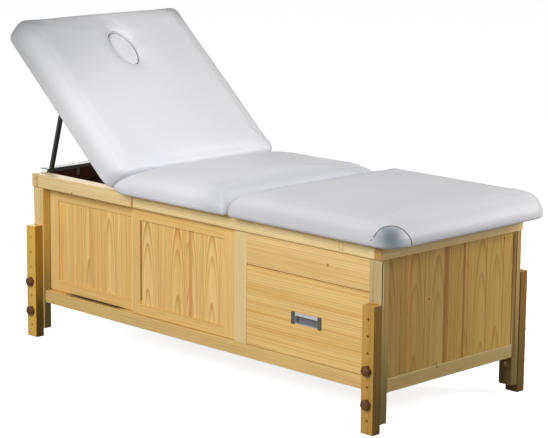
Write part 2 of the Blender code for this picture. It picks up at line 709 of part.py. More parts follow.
# --- prop -------------------------------------------------------------------------------------
def make_prop(table, hinge):
    pivot = empty("prop_pivot", (-PROP_PIVOT, 0.0, PROP_HEIGHT), PROP_OPEN_ANGLE, hinge)
    half = STRUT_THICKNESS / 2
    reach = STRUT_Y + STRUT_WIDTH / 2 + 0.0055

    def strut(side):
        y = (side * (STRUT_Y - STRUT_WIDTH / 2), side * (STRUT_Y + STRUT_WIDTH / 2))
        return lambda shape: add_box(shape, (-STRUT_BUTT, PROP_LENGTH), y, (-half, half))

    rod = build("prop_frame", pivot, lambda s: add_rod(s, (0, 0, 0), "Y", 2 * reach, ROD_RADIUS), "steel")
    join(rod, pivot, "front_strut", strut(-1))
    join(rod, pivot, "back_strut", strut(1))

    ear = 0.0024
    plate_z = (POCKET_DEPTH - GAP - 0.002, POCKET_DEPTH - GAP)
    plate_x = (-PROP_PIVOT - 0.012, -PROP_PIVOT + 0.012)
    plate = box("prop_bracket", hinge, plate_x, (-reach, reach), plate_z, "steel")
    places = [side * (STRUT_Y - STRUT_WIDTH / 2 - 0.001 - ear / 2) for side in (-1, 1)]
    places += [side * (STRUT_Y + STRUT_WIDTH / 2 + 0.001 + ear / 2) for side in (-1, 1)]

    def ears(shape):
        for middle in places:
            y = (middle - ear / 2, middle + ear / 2)
            add_box(shape, (plate_x[0] + 0.002, plate_x[1] - 0.002), y, (PROP_HEIGHT - 0.0065, plate_z[1] - 0.001))

    def bracket_bores(shape):
        add_rod(shape, (-PROP_PIVOT, 0.0, PROP_HEIGHT), "Y", 4 * STRUT_Y, ROD_RADIUS + GAP)

    join(plate, hinge, "ears", ears)
    cut(plate, hinge, bracket_bores)

    bar_z = (TOP_RAIL_TOP + GAP, TOP_RAIL_TOP + BAR_HEIGHT)
    bar_y = (-BAR_HALF_LENGTH, BAR_HALF_LENGTH)
    bar = box("crossbar", table, BAR_X, bar_y, bar_z, "steel")
    hollow_x = (BAR_X[0] - 0.01, BAR_X[1] - BAR_STEEL)
    hollow_y = (-BAR_HALF_LENGTH - 0.01, BAR_HALF_LENGTH + 0.01)
    cut(bar, table, lambda s: add_box(s, hollow_x, hollow_y, (bar_z[0] - 0.01, bar_z[1] - BAR_STEEL)))

    def straps(shape):
        face = END_RAIL_DEPTH + GAP
        for middle in STRAP_Y:
            y = (middle - STRAP_WIDTH / 2, middle + STRAP_WIDTH / 2)
            add_box(shape, (face, face + BAR_STEEL), y, (bar_z[1] - STRAP_DROP, bar_z[1] - 0.001))

    def welds(shape):
        for middle in STRAP_Y:
            y = (middle - STRAP_WIDTH / 2 + 0.001, middle + STRAP_WIDTH / 2 - 0.001)
            add_box(shape, (BAR_X[1] - 0.001, END_RAIL_DEPTH + 0.001), y, (bar_z[0] + 0.002, bar_z[1] - 0.003))

    join(bar, table, "straps", straps)
    join(bar, table, "welds", welds)


# --- piano hinge ------------------------------------------------------------------------------
def knuckle_span(index):
    pitch = 2 * HINGE_HALF_LENGTH / KNUCKLE_COUNT
    start = -HINGE_HALF_LENGTH + index * pitch
    return (start + GAP / 2, start + pitch - GAP / 2)


def add_knuckles(shape, axis_x, axis_z, indices):
    for index in indices:
        low, high = knuckle_span(index)
        add_rod(shape, (axis_x, (low + high) / 2, axis_z), "Y", high - low, KNUCKLE_RADIUS)


def make_hinge(table, hinge):
    """One leaf on the bearer, one under the backrest, and the pin through their knuckles."""
    ends = (-HINGE_HALF_LENGTH, HINGE_HALF_LENGTH)
    even = range(0, KNUCKLE_COUNT, 2)
    odd = range(1, KNUCKLE_COUNT, 2)

    def add_relief(shape, axis_x, axis_z, direction, indices):
        """Room for the other leaf's knuckles."""
        for index in indices:
            low, high = knuckle_span(index)
            x = (axis_x - direction * 0.01, axis_x + direction * LEAF_RELIEF)
            add_box(shape, x, (low - GAP, high + GAP), (axis_z - 0.01, axis_z + 0.01))

    leaf_z = (TOP_RAIL_TOP - LEAF_THICKNESS, TOP_RAIL_TOP)
    fixed = box("hinge_fixed_leaf", table, (HINGE_X, HINGE_X + LEAF_LENGTH), ends, leaf_z, "zinc")
    cut(fixed, table, lambda s: add_relief(s, HINGE_X, TOP_RAIL_TOP, 1, odd))
    join(fixed, table, "knuckles", lambda s: add_knuckles(s, HINGE_X, TOP_RAIL_TOP, even))
    cut(fixed, table, lambda s: add_rod(s, (HINGE_X, 0, TOP_RAIL_TOP), "Y", 0.7, PIN_RADIUS + GAP))

    leaf_z = (GAP, LEAF_THICKNESS + GAP)
    moving = box("hinge_moving_leaf", hinge, (-LEAF_LENGTH, 0.0), ends, leaf_z, "zinc")
    cut(moving, hinge, lambda s: add_relief(s, 0.0, 0.0, -1, even))
    join(moving, hinge, "knuckles", lambda s: add_knuckles(s, 0.0, 0.0, odd))
    cut(moving, hinge, lambda s: add_rod(s, (0, 0, 0), "Y", 0.7, PIN_RADIUS + GAP))

    length = 2 * HINGE_HALF_LENGTH
    centre = (HINGE_X, 0.0, TOP_RAIL_TOP)
    build("hinge_pin", table, lambda s: add_rod(s, centre, "Y", length, PIN_RADIUS), "zinc", True)


def stand_over_origin(table):
    """Moves the whole couch so that its box's bottom middle is the origin."""
    bpy.context.view_layer.update()
    graph = bpy.context.evaluated_depsgraph_get()
    points = []
    for obj in bpy.data.objects:
        if obj.type != "MESH" or obj.hide_render:
            continue
        solid = obj.evaluated_get(graph)
        points.extend(solid.matrix_world @ vertex.co for vertex in solid.data.vertices)
    lows = [min(point[axis] for point in points) for axis in range(3)]
    highs = [max(point[axis] for point in points) for axis in range(3)]
    table.location = (-(lows[0] + highs[0]) / 2, -(lows[1] + highs[1]) / 2, -lows[2])


def main():
    clear_scene()
    table = empty("couch")
    hinge = empty("backrest_hinge", (HINGE_X, 0.0, TOP_RAIL_TOP), BACKREST_ANGLE, table)
    make_posts(table)
    make_rails(table)
    make_panels(table)
    make_leg_knobs(table)
    make_legs(table)
    make_door(table, "left", LEFT_DOOR_X, LEFT_DOOR_WINDOW, REAR_DOOR_FACE)
    make_door(table, "right", RIGHT_DOOR_X, RIGHT_DOOR_WINDOW, FRONT_DOOR_FACE)
    make_drawer(table)
    make_fixed_section(table, "seat", (HINGE_X + HINGE_INSET, SEAT_END), (PAD_JOINT_RADIUS, PAD_JOINT_RADIUS))
    make_fixed_section(table, "foot", (FOOT_START, FOOT_END), (PAD_END_RADIUS, PAD_JOINT_RADIUS))
    make_backrest(hinge)
    make_prop(table, hinge)
    make_hinge(table, hinge)
    stand_over_origin(table)


main()
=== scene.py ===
import json
import math

import bmesh
import bpy
import numpy as np
from mathutils import Matrix, Vector
from mathutils.bvhtree import BVHTree


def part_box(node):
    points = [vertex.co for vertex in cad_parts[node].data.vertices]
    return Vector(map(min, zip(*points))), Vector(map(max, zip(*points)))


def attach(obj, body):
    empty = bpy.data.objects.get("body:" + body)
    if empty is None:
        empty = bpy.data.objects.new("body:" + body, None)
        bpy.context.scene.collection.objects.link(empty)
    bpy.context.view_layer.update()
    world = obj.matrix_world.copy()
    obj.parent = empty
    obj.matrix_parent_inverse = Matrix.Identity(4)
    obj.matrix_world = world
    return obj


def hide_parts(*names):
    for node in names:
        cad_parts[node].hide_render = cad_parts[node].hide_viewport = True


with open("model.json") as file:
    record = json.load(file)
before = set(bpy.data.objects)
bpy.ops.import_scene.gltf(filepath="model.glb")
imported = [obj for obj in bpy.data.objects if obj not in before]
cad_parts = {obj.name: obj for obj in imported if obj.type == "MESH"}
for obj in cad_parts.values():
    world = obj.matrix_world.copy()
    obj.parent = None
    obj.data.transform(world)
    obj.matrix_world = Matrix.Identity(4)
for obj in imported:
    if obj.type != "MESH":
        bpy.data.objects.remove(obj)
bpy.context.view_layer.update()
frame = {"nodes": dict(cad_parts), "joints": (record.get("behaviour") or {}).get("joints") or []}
NODES = frame["nodes"]

# --- places in the couch, from its own frame ----------------------------------------------------
HINGE = next(joint for joint in frame["joints"] if joint["name"] == "backrest_hinge")
HINGE_POINT = Vector(HINGE["pos_m"])
RAISED = math.radians(-HINGE["range_deg"][0])
BACKREST = Matrix.Translation(HINGE_POINT) @ Matrix.Rotation(RAISED, 4, "Y")
# --- camera -------------------------------------------------------------------------------------
CAMERA_PLACE = (4.6197, -4.5745, 1.7811)
CAMERA_HEADING = 0.7871
CAMERA_DIP = 0.1986
CAMERA_ROLL = 0.0079
SENSOR_WIDTH = 36.0
FOCAL_LENGTH = 136.68
LENS_SHIFT = (0.0035, -0.0018)
SIGHT = 60.0


def make_camera():
    data = bpy.data.cameras.new("camera")
    camera = bpy.data.objects.new("camera", data)
    bpy.context.scene.collection.objects.link(camera)
    data.sensor_width = SENSOR_WIDTH
    data.lens = FOCAL_LENGTH
    data.shift_x, data.shift_y = LENS_SHIFT
    data.clip_end = SIGHT
    turn = Matrix.Rotation(CAMERA_HEADING, 4, "Z") @ Matrix.Rotation(math.pi / 2 - CAMERA_DIP, 4, "X")
    roll = Matrix.Rotation(CAMERA_ROLL, 4, "Z")
    camera.matrix_world = Matrix.Translation(CAMERA_PLACE) @ turn @ roll
    bpy.context.scene.camera = camera


# --- shader helpers -----------------------------------------------------------------------------
class Shader:
    """One Principled material and short calls that add nodes to it."""

    def __init__(self, name, **sockets):
        self.material = bpy.data.materials.new(name)
        self.material.use_nodes = True
        self.tree = self.material.node_tree
        self.surface = self.tree.nodes["Principled BSDF"]
        for socket, value in sockets.items():
            self.put(self.surface.inputs[socket.replace("_", " ")], value)

    def put(self, socket, value):
        if isinstance(value, bpy.types.NodeSocket):
            self.tree.links.new(value, socket)
        elif isinstance(value, (tuple, list)) and len(value) == 3 and len(socket.default_value) == 4:
            socket.default_value = (*value, 1.0)
        else:
            socket.default_value = value

    def node(self, kind, inputs=(), **settings):
        made = self.tree.nodes.new("ShaderNode" + kind)
        for key, value in settings.items():
            setattr(made, key, value)
        for key, value in dict(inputs).items():
            self.put(made.inputs[key], value)
        return made

    def place(self):
        return self.node("TexCoord").outputs["Object"]

    def calc(self, operation, *values, clamp=False):
        made = self.node("Math", operation=operation, use_clamp=clamp)
        for socket, value in zip(made.inputs, values):
            self.put(socket, value)
        return made.outputs[0]

    def split(self, vector):
        return self.node("SeparateXYZ", {0: vector}).outputs

    def join(self, x, y, z):
        return self.node("CombineXYZ", {0: x, 1: y, 2: z}).outputs[0]

    def noise(self, vector, scale, detail=2.0, roughness=0.5):
        inputs = {"Vector": vector, "Scale": scale, "Detail": detail, "Roughness": roughness}
        return self.node("TexNoise", inputs).outputs["Fac"]

    def remap(self, value, low, high, to_low=0.0, to_high=1.0, smooth=False):
        made = self.node("MapRange", {0: value, 1: low, 2: high, 3: to_low, 4: to_high})
        if smooth:
            made.interpolation_type = "SMOOTHSTEP"
        return made.outputs[0]

    def blend(self, factor, a, b, mode="MIX"):
        made = self.node("Mix", data_type="RGBA", blend_type=mode)
        self.put(made.inputs["Factor"], factor)
        self.put(made.inputs[6], a)
        self.put(made.inputs[7], b)
        return made.outputs[2]

    def distance(self, place, point):
        made = self.node("VectorMath", operation="DISTANCE")
        self.put(made.inputs[0], place)
        self.put(made.inputs[1], tuple(point))
        return made.outputs["Value"]

    def tint(self, color, amount):
        """color times amount, channel by channel."""
        made = self.node("VectorMath", operation="MULTIPLY")
        self.put(made.inputs[0], color)
        self.put(made.inputs[1], self.join(amount, amount, amount))
        return made.outputs[0]

    def bump(self, height, strength, distance):
        made = self.node("Bump", {"Height": height, "Strength": strength, "Distance": distance})
        self.put(self.surface.inputs["Normal"], made.outputs[0])

    def color(self, value):
        self.put(self.surface.inputs["Base Color"], value)


EARLYWOOD = (0.97, 0.69, 0.275)
LATEWOOD = (0.73, 0.395, 0.105)
HEARTWOOD = (0.74, 0.345, 0.060)
WARM = (0.92, 0.80, 0.60)
# Painted shade of the cabinet's unlit inside.
INSIDE_SHADE = (0.060, 0.022, 0.012)
# Painted shade in gaps, grooves and on ledges.
GAP_SHADE = (0.085, 0.045, 0.018)
KNOT_CORE = (0.15, 0.055, 0.015)
FAR = 9.0


def wood(node, grain, face, seed=0.0, tone=1.0, joints=(), span=(0.0, 1.0), ring=0.0062, depth=0.020,
         tilt=0.030, pith=0.10, wave=0.22, contrast=0.75, bands=0.5, heart=0.45, early=EARLYWOOD,
         late=LATEWOOD, gloss=0.42, turned=None, marks=(), knots=(), fall=None):
    """Pine: growth rings about a pith line behind the face, fibres, heartwood streaks and tones of boards.

    grain is the axis letter along the boards and face the letter of the axis out of the face.
    joints are the places of glued joints across the boards, within span.
    turned is (middle, half width): within that width, on a frame's cross rails, the grain runs across.
    marks are boxes of another color, (low corner, high corner, fade, color), where fade is one length or one
    for each axis. knots are (place, radius). fall is (axis letter, from, to, tone at from, tone at to):
    painted light, a tone that changes along that axis.
    """
    shader = Shader("pine_" + node, Roughness=gloss, IOR=1.46)
    place = shader.place()
    parts = dict(zip("XYZ", shader.split(place)))
    low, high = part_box(node)
    along = parts[grain]
    out = shader.calc("SUBTRACT", parts[face], getattr((low + high) / 2, face.lower()))
    wide = parts[next(letter for letter in "XYZ" if letter not in (grain, face))]
    index = seed
    if turned:
        off_middle = shader.calc("ABSOLUTE", shader.calc("SUBTRACT", wide, turned[0]))
        rail = shader.calc("LESS_THAN", off_middle, turned[1])
        swap = shader.calc("MULTIPLY", rail, shader.calc("SUBTRACT", wide, along))
        along, wide = shader.calc("ADD", along, swap), shader.calc("SUBTRACT", wide, swap)
        index = shader.calc("ADD", index, rail)

    edges = [span[0], *joints, span[1]]
    centres = [(a + b) / 2 for a, b in zip(edges, edges[1:])]
    centre = centres[0]
    glue = 0.0
    for joint, one, other in zip(joints, centres, centres[1:]):
        past = shader.calc("GREATER_THAN", wide, joint)
        index = shader.calc("ADD", index, past)
        centre = shader.calc("MULTIPLY_ADD", past, other - one, centre)
        gap = shader.calc("ABSOLUTE", shader.calc("SUBTRACT", wide, joint))
        glue = shader.calc("ADD", glue, shader.remap(gap, 0.0004, 0.0016, 1.0, 0.0))
    chance = shader.node("TexWhiteNoise", noise_dimensions="1D")
    shader.put(chance.inputs["W"], index)
    luck = shader.split(chance.outputs["Color"])

    far = shader.calc("MULTIPLY_ADD", index, 3.7, along)
    drift_at = shader.join(shader.calc("MULTIPLY", far, 1.1), shader.calc("MULTIPLY", wide, 3.0), seed)
    drift = shader.calc("SUBTRACT", shader.noise(drift_at, 1.0, 1.0), 0.5)
    across = shader.calc("SUBTRACT", wide, centre)
    across = shader.calc("SUBTRACT", across, shader.remap(luck[0], 0.0, 1.0, -pith, pith))
    across = shader.calc("MULTIPLY_ADD", drift, 0.010, across)
    below = shader.remap(luck[1], 0.0, 1.0, depth * 0.3, depth * 1.4)
    below = shader.calc("MULTIPLY_ADD", along, tilt, below)
    below = shader.calc("ADD", below, out)
    square = shader.calc("MULTIPLY_ADD", across, across, shader.calc("MULTIPLY", below, below))
    rings = shader.calc("DIVIDE", shader.calc("SQRT", square), ring)
    waver_at = shader.join(shader.calc("MULTIPLY", far, 6.0), shader.calc("MULTIPLY", wide, 45.0), out)
    rings = shader.calc("MULTIPLY_ADD", shader.noise(waver_at, 1.0, 2.0), wave, rings)
    year = shader.calc("FLOOR", rings)
    turn = shader.calc("FRACT", rings)
    line = shader.calc("MULTIPLY", shader.calc("POWER", turn, 3.0), shader.remap(turn, 0.93, 1.0, 1.0, 0.0))
    year_luck = shader.node("TexWhiteNoise", noise_dimensions="1D")
    shader.put(year_luck.inputs["W"], year)
    line = shader.calc("MULTIPLY", line, shader.remap(year_luck.outputs["Value"], 0.0, 1.0, 0.10, 1.6))
    line = shader.calc("MULTIPLY", line, contrast, clamp=True)

    def stretched(lengthwise, crosswise, detail):
        sizes = ((far, lengthwise), (wide, crosswise), (out, crosswise))
        scaled = [shader.calc("MULTIPLY", value, size) for value, size in sizes]
        return shader.noise(shader.join(*scaled), 1.0, detail)

    fibre = stretched(11.0, 650.0, 3.0)
    pore = stretched(4.0, 260.0, 2.0)
    band = stretched(0.7, 62.0, 2.0)
    streak = stretched(0.5, 66.0, 1.0)
    cloud = stretched(2.5, 9.0, 3.0)

    def warmed(color, amount):
        multiplied = shader.node("VectorMath", operation="MULTIPLY")
        shader.put(multiplied.inputs[0], color)
        shader.put(multiplied.inputs[1], WARM)
        return shader.blend(amount, color, multiplied.outputs[0])

    color = shader.blend(line, early, late)
    color = warmed(color, shader.remap(band, 0.38, 0.68, 0.0, bands, True))
    color = warmed(color, shader.remap(luck[2], 0.0, 1.0, 0.0, 0.55))
    color = shader.blend(shader.remap(streak, 0.60, 0.74, 0.0, heart, True), color, HEARTWOOD)
    amount = shader.remap(fibre, 0.2, 0.8, 0.94, 1.05)
    for value, reach in ((pore, 0.07), (cloud, 0.05)):
        amount = shader.calc("MULTIPLY", amount, shader.remap(value, 0.3, 0.7, 1 - reach, 1 + reach * 0.8))
    if fall:
        amount = shader.calc("MULTIPLY", amount, shader.remap(parts[fall[0]], *fall[1:]))
    color = shader.tint(color, shader.calc("MULTIPLY", amount, tone))
    if joints:
        color = shader.blend(shader.calc("MULTIPLY", glue, 0.5, clamp=True), color, HEARTWOOD)
    for spot, radius in knots:
        away = shader.calc("MULTIPLY_ADD", pore, radius * 0.5, shader.distance(place, spot))
        rim = shader.remap(away, radius * 0.6, radius * 2.4, 0.6, 0.0, True)
        core = shader.remap(away, radius * 0.5, radius * 1.3, 0.92, 0.0, True)
        color = shader.blend(core, shader.blend(rim, color, HEARTWOOD), KNOT_CORE)
    for mark in marks:
        color = painted(shader, place, color, pore, *mark)
    shader.color(color)
    shader.put(shader.surface.inputs["Roughness"], shader.remap(fibre, 0.2, 0.8, gloss - 0.06, gloss + 0.08))
    shader.bump(shader.calc("MULTIPLY_ADD", line, 0.6, fibre), 0.15, 0.0006)
    return shader.material


def painted(shader, place, color, pore, corner, other, fade, paint):
    """The color with one of wood's marks over it."""
    def step(operation, first, second=None):
        inputs = {0: first} if second is None else {0: first, 1: second}
        return shader.node("VectorMath", inputs, operation=operation).outputs[0]

    corner, other = Vector(corner), Vector(other)
    fade = fade if isinstance(fade, tuple) else (fade, fade, fade)
    away = step("ABSOLUTE", step("SUBTRACT", place, tuple((corner + other) / 2)))
    away = step("DIVIDE", step("SUBTRACT", away, tuple((other - corner) / 2)), fade)
    away = shader.split(away)
    most = shader.calc("MAXIMUM", shader.calc("MAXIMUM", away[0], away[1]), away[2])
    rough = shader.tint(paint, shader.remap(pore, 0.3, 0.7, 0.85, 1.15))
    return shader.blend(shader.remap(most, 0.0, 1.0, 1.0, 0.0, True), color, rough)


def slab(letter, low, high):
    """Corners of a layer across one axis, endless along the others."""
    one, other = [-FAR] * 3, [FAR] * 3
    one["XYZ".index(letter)], other["XYZ".index(letter)] = low, high
    return one, other


def frame_of(x0, x1, z0, z1, width):
    """Four strips, width wide, just inside the rectangle's edges, through every y."""
    upright = [(x0, x0 + width, z0, z1), (x1 - width, x1, z0, z1)]
    level = [(x0, x1, z0, z0 + width), (x0, x1, z1 - width, z1)]
    return [((a, -FAR, c), (b, FAR, d)) for a, b, c, d in upright + level]


def dress(node, material):
    NODES[node].data.materials.clear()
    NODES[node].data.materials.append(material)


def grained(node, *args, **options):
    dress(node, wood(node, *args, **options))


PALE = dict(early=(0.97, 0.765, 0.395), late=(0.76, 0.485, 0.18))
LEG_TONES = dict(early=(0.62, 0.385, 0.095), late=(0.40, 0.19, 0.030))
GOLDEN = dict(early=(0.95, 0.64, 0.145), late=(0.66, 0.345, 0.050))
# Painted shade: a darker copy of the wood for the foot end's boards.
END_TONES = dict(early=(0.545, 0.368, 0.100), late=(0.37, 0.190, 0.032))
HEAD_TONES = dict(early=(0.84, 0.585, 0.210), late=(0.60, 0.320, 0.075))
# Painted shade: a darker copy of the pale wood for the foot end's bottom rail.
SHADED_RAIL_TONES = dict(early=(0.70, 0.525, 0.205), late=(0.53, 0.330, 0.090))
# On the +X faces of posts and legs, SHADED and the side colors are painted shade; the foot colors are darker,
# towards the bottom.
SHADED = (0.70, 0.450, 0.110)
POST_SIDE = (0.50, 0.330, 0.105)
POST_FOOT = (0.20, 0.150, 0.042)
LEG_SIDE = (0.27, 0.138, 0.014)
GOLDEN_SIDE = (0.44, 0.230, 0.022)
LEG_FOOT = (0.17, 0.095, 0.012)
# Painted shade on the front faces of the back posts and legs, under the cabinet.
UNDER_RAIL = (0.30, 0.185, 0.050)
FAR_LEG = (0.21, 0.106, 0.015)
# A pale line along the front edge of the foot post's +X face.
PALE_EDGE_LINE = (0.80, 0.62, 0.32)
# Painted shade in the gap between the far foot post and the end boards.
POST_GAP = (0.16, 0.075, 0.020)
FINGER_LINE = (0.70, 0.42, 0.14)
END_GRAIN = (0.58, 0.32, 0.10)
DARK_STRIPE = (0.36, 0.155, 0.028)
DOOR_STRIPE = (0.74, 0.39, 0.11)
# Painted shade round the edges of the door panels.
PANEL_RIM = (0.52, 0.29, 0.085)
# Painted shade along the bottom of the right door's frame.
DOOR_SILL = (0.20, 0.10, 0.03)

# A mark over a face reaches SKIN to both sides of it, or MARK_DEPTH into the wood.
# CRISP is the fade of a clean edge.
SKIN = 0.001
MARK_DEPTH = 0.002
CRISP = 0.0005

POST_FOOT_HEIGHT = 0.0905
ABOVE_LEG = (0.375, 0.500)


def over_face(node, letter, side):
    """Corners of a layer over the face of the node on the low (0) or high (1) side of an axis."""
    at = getattr(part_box(node)[side], letter.lower())
    return slab(letter, at - SKIN, at + SKIN)


def inside_shade_mark(node, letter, side):
    """A mark over a face: painted shade, as dark as the cabinet's unlit inside."""
    return (*over_face(node, letter, side), CRISP, INSIDE_SHADE)


def side_strip(x, y, z):
    """Corners of a strip over a +X face at x, between two ys and two zs."""
    return (x - SKIN, y[0], z[0]), (x + SKIN, y[1], z[1])


def side_shade_marks(node, upper, lower, top):
    """Marks over the +X face of an upright: painted shade in one color, which turns to another, darker one
    going down from top.
    """
    low, high = over_face(node, "X", 1)
    return [(low, high, CRISP, upper), (low, [high[0], FAR, 0.03], (CRISP, 1.0, top), lower)]


def joints_at(low, high, shares):
    return [low + share * (high - low) for share in shares]


def dress_post(side, end, seed):
    node = f"{side}_{end}_post"
    low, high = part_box(node)
    foot = low.z + POST_FOOT_HEIGHT
    # Painted shade over the +X face, darker towards the bottom.
    marks = side_shade_marks(node, SHADED if end == "head" else POST_SIDE, POST_FOOT, 0.38)
    if node == "front_foot_post":
        # A pale line along the front edge of the +X face, and painted shade in the crevice beside it.
        marks.append((*side_strip(high.x, (low.y, low.y + 0.006), ABOVE_LEG), 0.0015, PALE_EDGE_LINE))
        marks.append((*side_strip(high.x, (low.y - 0.0005, low.y + 0.0022), ABOVE_LEG), 0.0012, GAP_SHADE))
    elif node == "back_foot_post":
        # Painted shade in the gap beside the end boards.
        gap = side_strip(high.x, (low.y + 0.0045, low.y + 0.0095), (foot, high.z))
        marks.append((*gap, 0.0015, POST_GAP))
    if side == "back":
        # Painted shade on the front face below the bottom rail, under the cabinet.
        marks.append(((-FAR, low.y - SKIN, 0.0), (FAR, low.y + SKIN, foot), CRISP, UNDER_RAIL))
    tone = 0.65 if node == "front_foot_post" else 1.0
    grained(node, "Z", "Y", seed, ring=0.008, contrast=0.5, marks=marks, tone=tone, **PALE)


def dress_leg(side, end, seed):
    node = f"{side}_{end}_leg"
    # Painted shade over the +X face, darker towards the bottom.
    marks = side_shade_marks(node, GOLDEN_SIDE if end == "head" else LEG_SIDE, LEG_FOOT, 0.30)
    if side == "back":
        # Painted shade on the back leg's front face, under the cabinet.
        marks.append((*over_face(node, "Y", 0), CRISP, FAR_LEG))
    tones = GOLDEN if end == "head" else LEG_TONES
    grained(node, "Z", "Y", seed, ring=0.007, marks=marks, **tones)


def finger_joint(face):
    """One step of a finger joint on a rail's front: two upright lines and the level one between them."""
    left, right = (0.6219, 0.6232), (0.6370, 0.6383)
    lines = ((left, (0.517, 0.540)), (right, (0.512, 0.538)), ((left[0], right[1]), (0.5165, 0.518)))
    boxes = [((x[0], face - SKIN, z[0]), (x[1], face + MARK_DEPTH, z[1])) for x, z in lines]
    return [(*box, 0.0015, FINGER_LINE) for box in boxes]


def dress_top_rails():
    low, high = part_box("front_top_rail_head")
    face = low.y
    knots = [((-0.5807, face, 0.5113), 0.0035), ((-0.2775, face, 0.5375), 0.0045)]
    butt = (high.x - 0.004, face - SKIN, low.z), (high.x - 0.0005, face + MARK_DEPTH, low.z + 0.020)
    grained("front_top_rail_head", "X", "Y", 41.0, contrast=0.35, ring=0.010, bands=0.3, heart=0.1,
            knots=knots, marks=[(*butt, 0.002, HEARTWOOD)], **PALE)
    knots = [((0.0454, face, 0.5480), 0.0050)]
    grained("front_top_rail_foot", "X", "Y", 44.0, contrast=0.5, ring=0.009, bands=0.35, heart=0.15,
            knots=knots, marks=finger_joint(face), **PALE)
    # Painted shade on the inner faces, as dark as the cabinet's unlit inside.
    grained("back_top_rail", "X", "Y", 47.0, ring=0.009, marks=[inside_shade_mark("back_top_rail", "Y", 0)])
    grained("head_top_rail", "Y", "X", 48.0, marks=[inside_shade_mark("head_top_rail", "X", 1)], **PALE)
    end_grain = (*over_face("foot_top_rail", "Y", 0), CRISP, END_GRAIN)
    grained("foot_top_rail", "Y", "X", 49.0, contrast=0.5, marks=[end_grain], **PALE)


def dress_bottom_rails():
    low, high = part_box("front_bottom_rail")
    # Painted shadow on the rail's top, on the ledge under the left door.
    ledge_shade = (-0.60, low.y + 0.008, high.z - 0.0005), (-0.40, FAR, high.z + 0.01)
    grained("front_bottom_rail", "X", "Y", 51.0, contrast=0.4, ring=0.010, bands=0.35, heart=0.15, tone=0.88,
            marks=[(*ledge_shade, (0.07, 0.003, 0.0010), GAP_SHADE)])
    grained("back_bottom_rail", "X", "Y", 52.0)
    grained("head_bottom_rail", "Y", "X", 53.0)
    knots = [((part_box("foot_bottom_rail")[1].x, -0.0657, 0.1535), 0.0060)]
    # Painted shade: the foot end's bottom rail is darker, in a darker copy of the pale wood.
    grained("foot_bottom_rail", "Y", "X", 54.0, contrast=0.4, heart=0.1, knots=knots, tone=0.78, **SHADED_RAIL_TONES)


def dress_inner_timber():
    grained("mullion", "Z", "Y", 55.0, contrast=0.3, ring=0.011, bands=0.25, heart=0.1, tone=0.93, **PALE)
    grained("hinge_bearer", "Y", "Z", 56.0, tone=0.6)
    grained("backrest_hinge_batten", "Y", "Z", 57.0)
    grained("drawer_runner", "Y", "Z", 58.0)


def dress_drawer():
    low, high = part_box("drawer_front")
    joints = joints_at(low.z, high.z, (0.36, 0.70))
    grained("drawer_front", "X", "Y", 61.0, joints=joints, span=(low.z, high.z), contrast=0.7, tilt=0.012,
            bands=0.75, ring=0.0085, wave=0.5)
    low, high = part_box("drawer_top_panel")
    knots = [((0.5702, low.y, 0.4598), 0.0042)]
    grained("drawer_top_panel", "X", "Y", 64.0, span=(low.z, high.z), contrast=0.7, tilt=0.008, ring=0.0075,
            wave=0.4, tone=0.98, knots=knots, early=(0.96, 0.715, 0.33), late=(0.74, 0.42, 0.13))
    for node in ("drawer_left_side", "drawer_right_side"):
        grained(node, "Y", "X", 66.0)
    grained("drawer_back", "X", "Y", 67.0)


def dress_boards():
    shares = (0.10, 0.285, 0.47, 0.627, 0.776, 0.917)
    look = dict(contrast=0.7, bands=0.7, heart=0.35, ring=0.0075, tilt=0.07, pith=0.035, depth=0.010)
    for end, seed in (("foot", 71.0), ("head", 81.0)):
        node = f"{end}_end_boards"
        low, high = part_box(node)
        if end == "foot":
            knots = [((high.x, -0.1031, 0.3619), 0.0055), ((high.x, 0.2375, 0.4930), 0.0050)]
            stripes = [(y - width / 2, y + width / 2) for y, width in ((-0.0285, 0.013), (0.0536, 0.004))]
            marks = [(*side_strip(high.x, stripe, (0.0, 1.0)), 0.005, DARK_STRIPE) for stripe in stripes]
        else:
            knots = []
            # Painted shade on the head end boards' inner face.
            marks = [inside_shade_mark(node, "X", 1)]
        joints = joints_at(low.y, high.y, shares)
        # fall paints light: the boards grow lighter towards +Y. The foot end's tones paint shade.
        grained(node, "Z", "X", seed, joints=joints, span=(low.y, high.y), marks=marks, knots=knots,
                fall=("Y", low.y, high.y, 0.92, 1.16), **look, **(END_TONES if end == "foot" else HEAD_TONES))
    low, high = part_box("back_boards")
    count = 12
    joints = [low.x + (high.x - low.x) * i / count for i in range(1, count)]
    # Painted shade on the back boards' inner face.
    grained("back_boards", "Z", "Y", 91.0, joints=joints, span=(low.x, high.x),
            marks=[inside_shade_mark("back_boards", "Y", 0)])


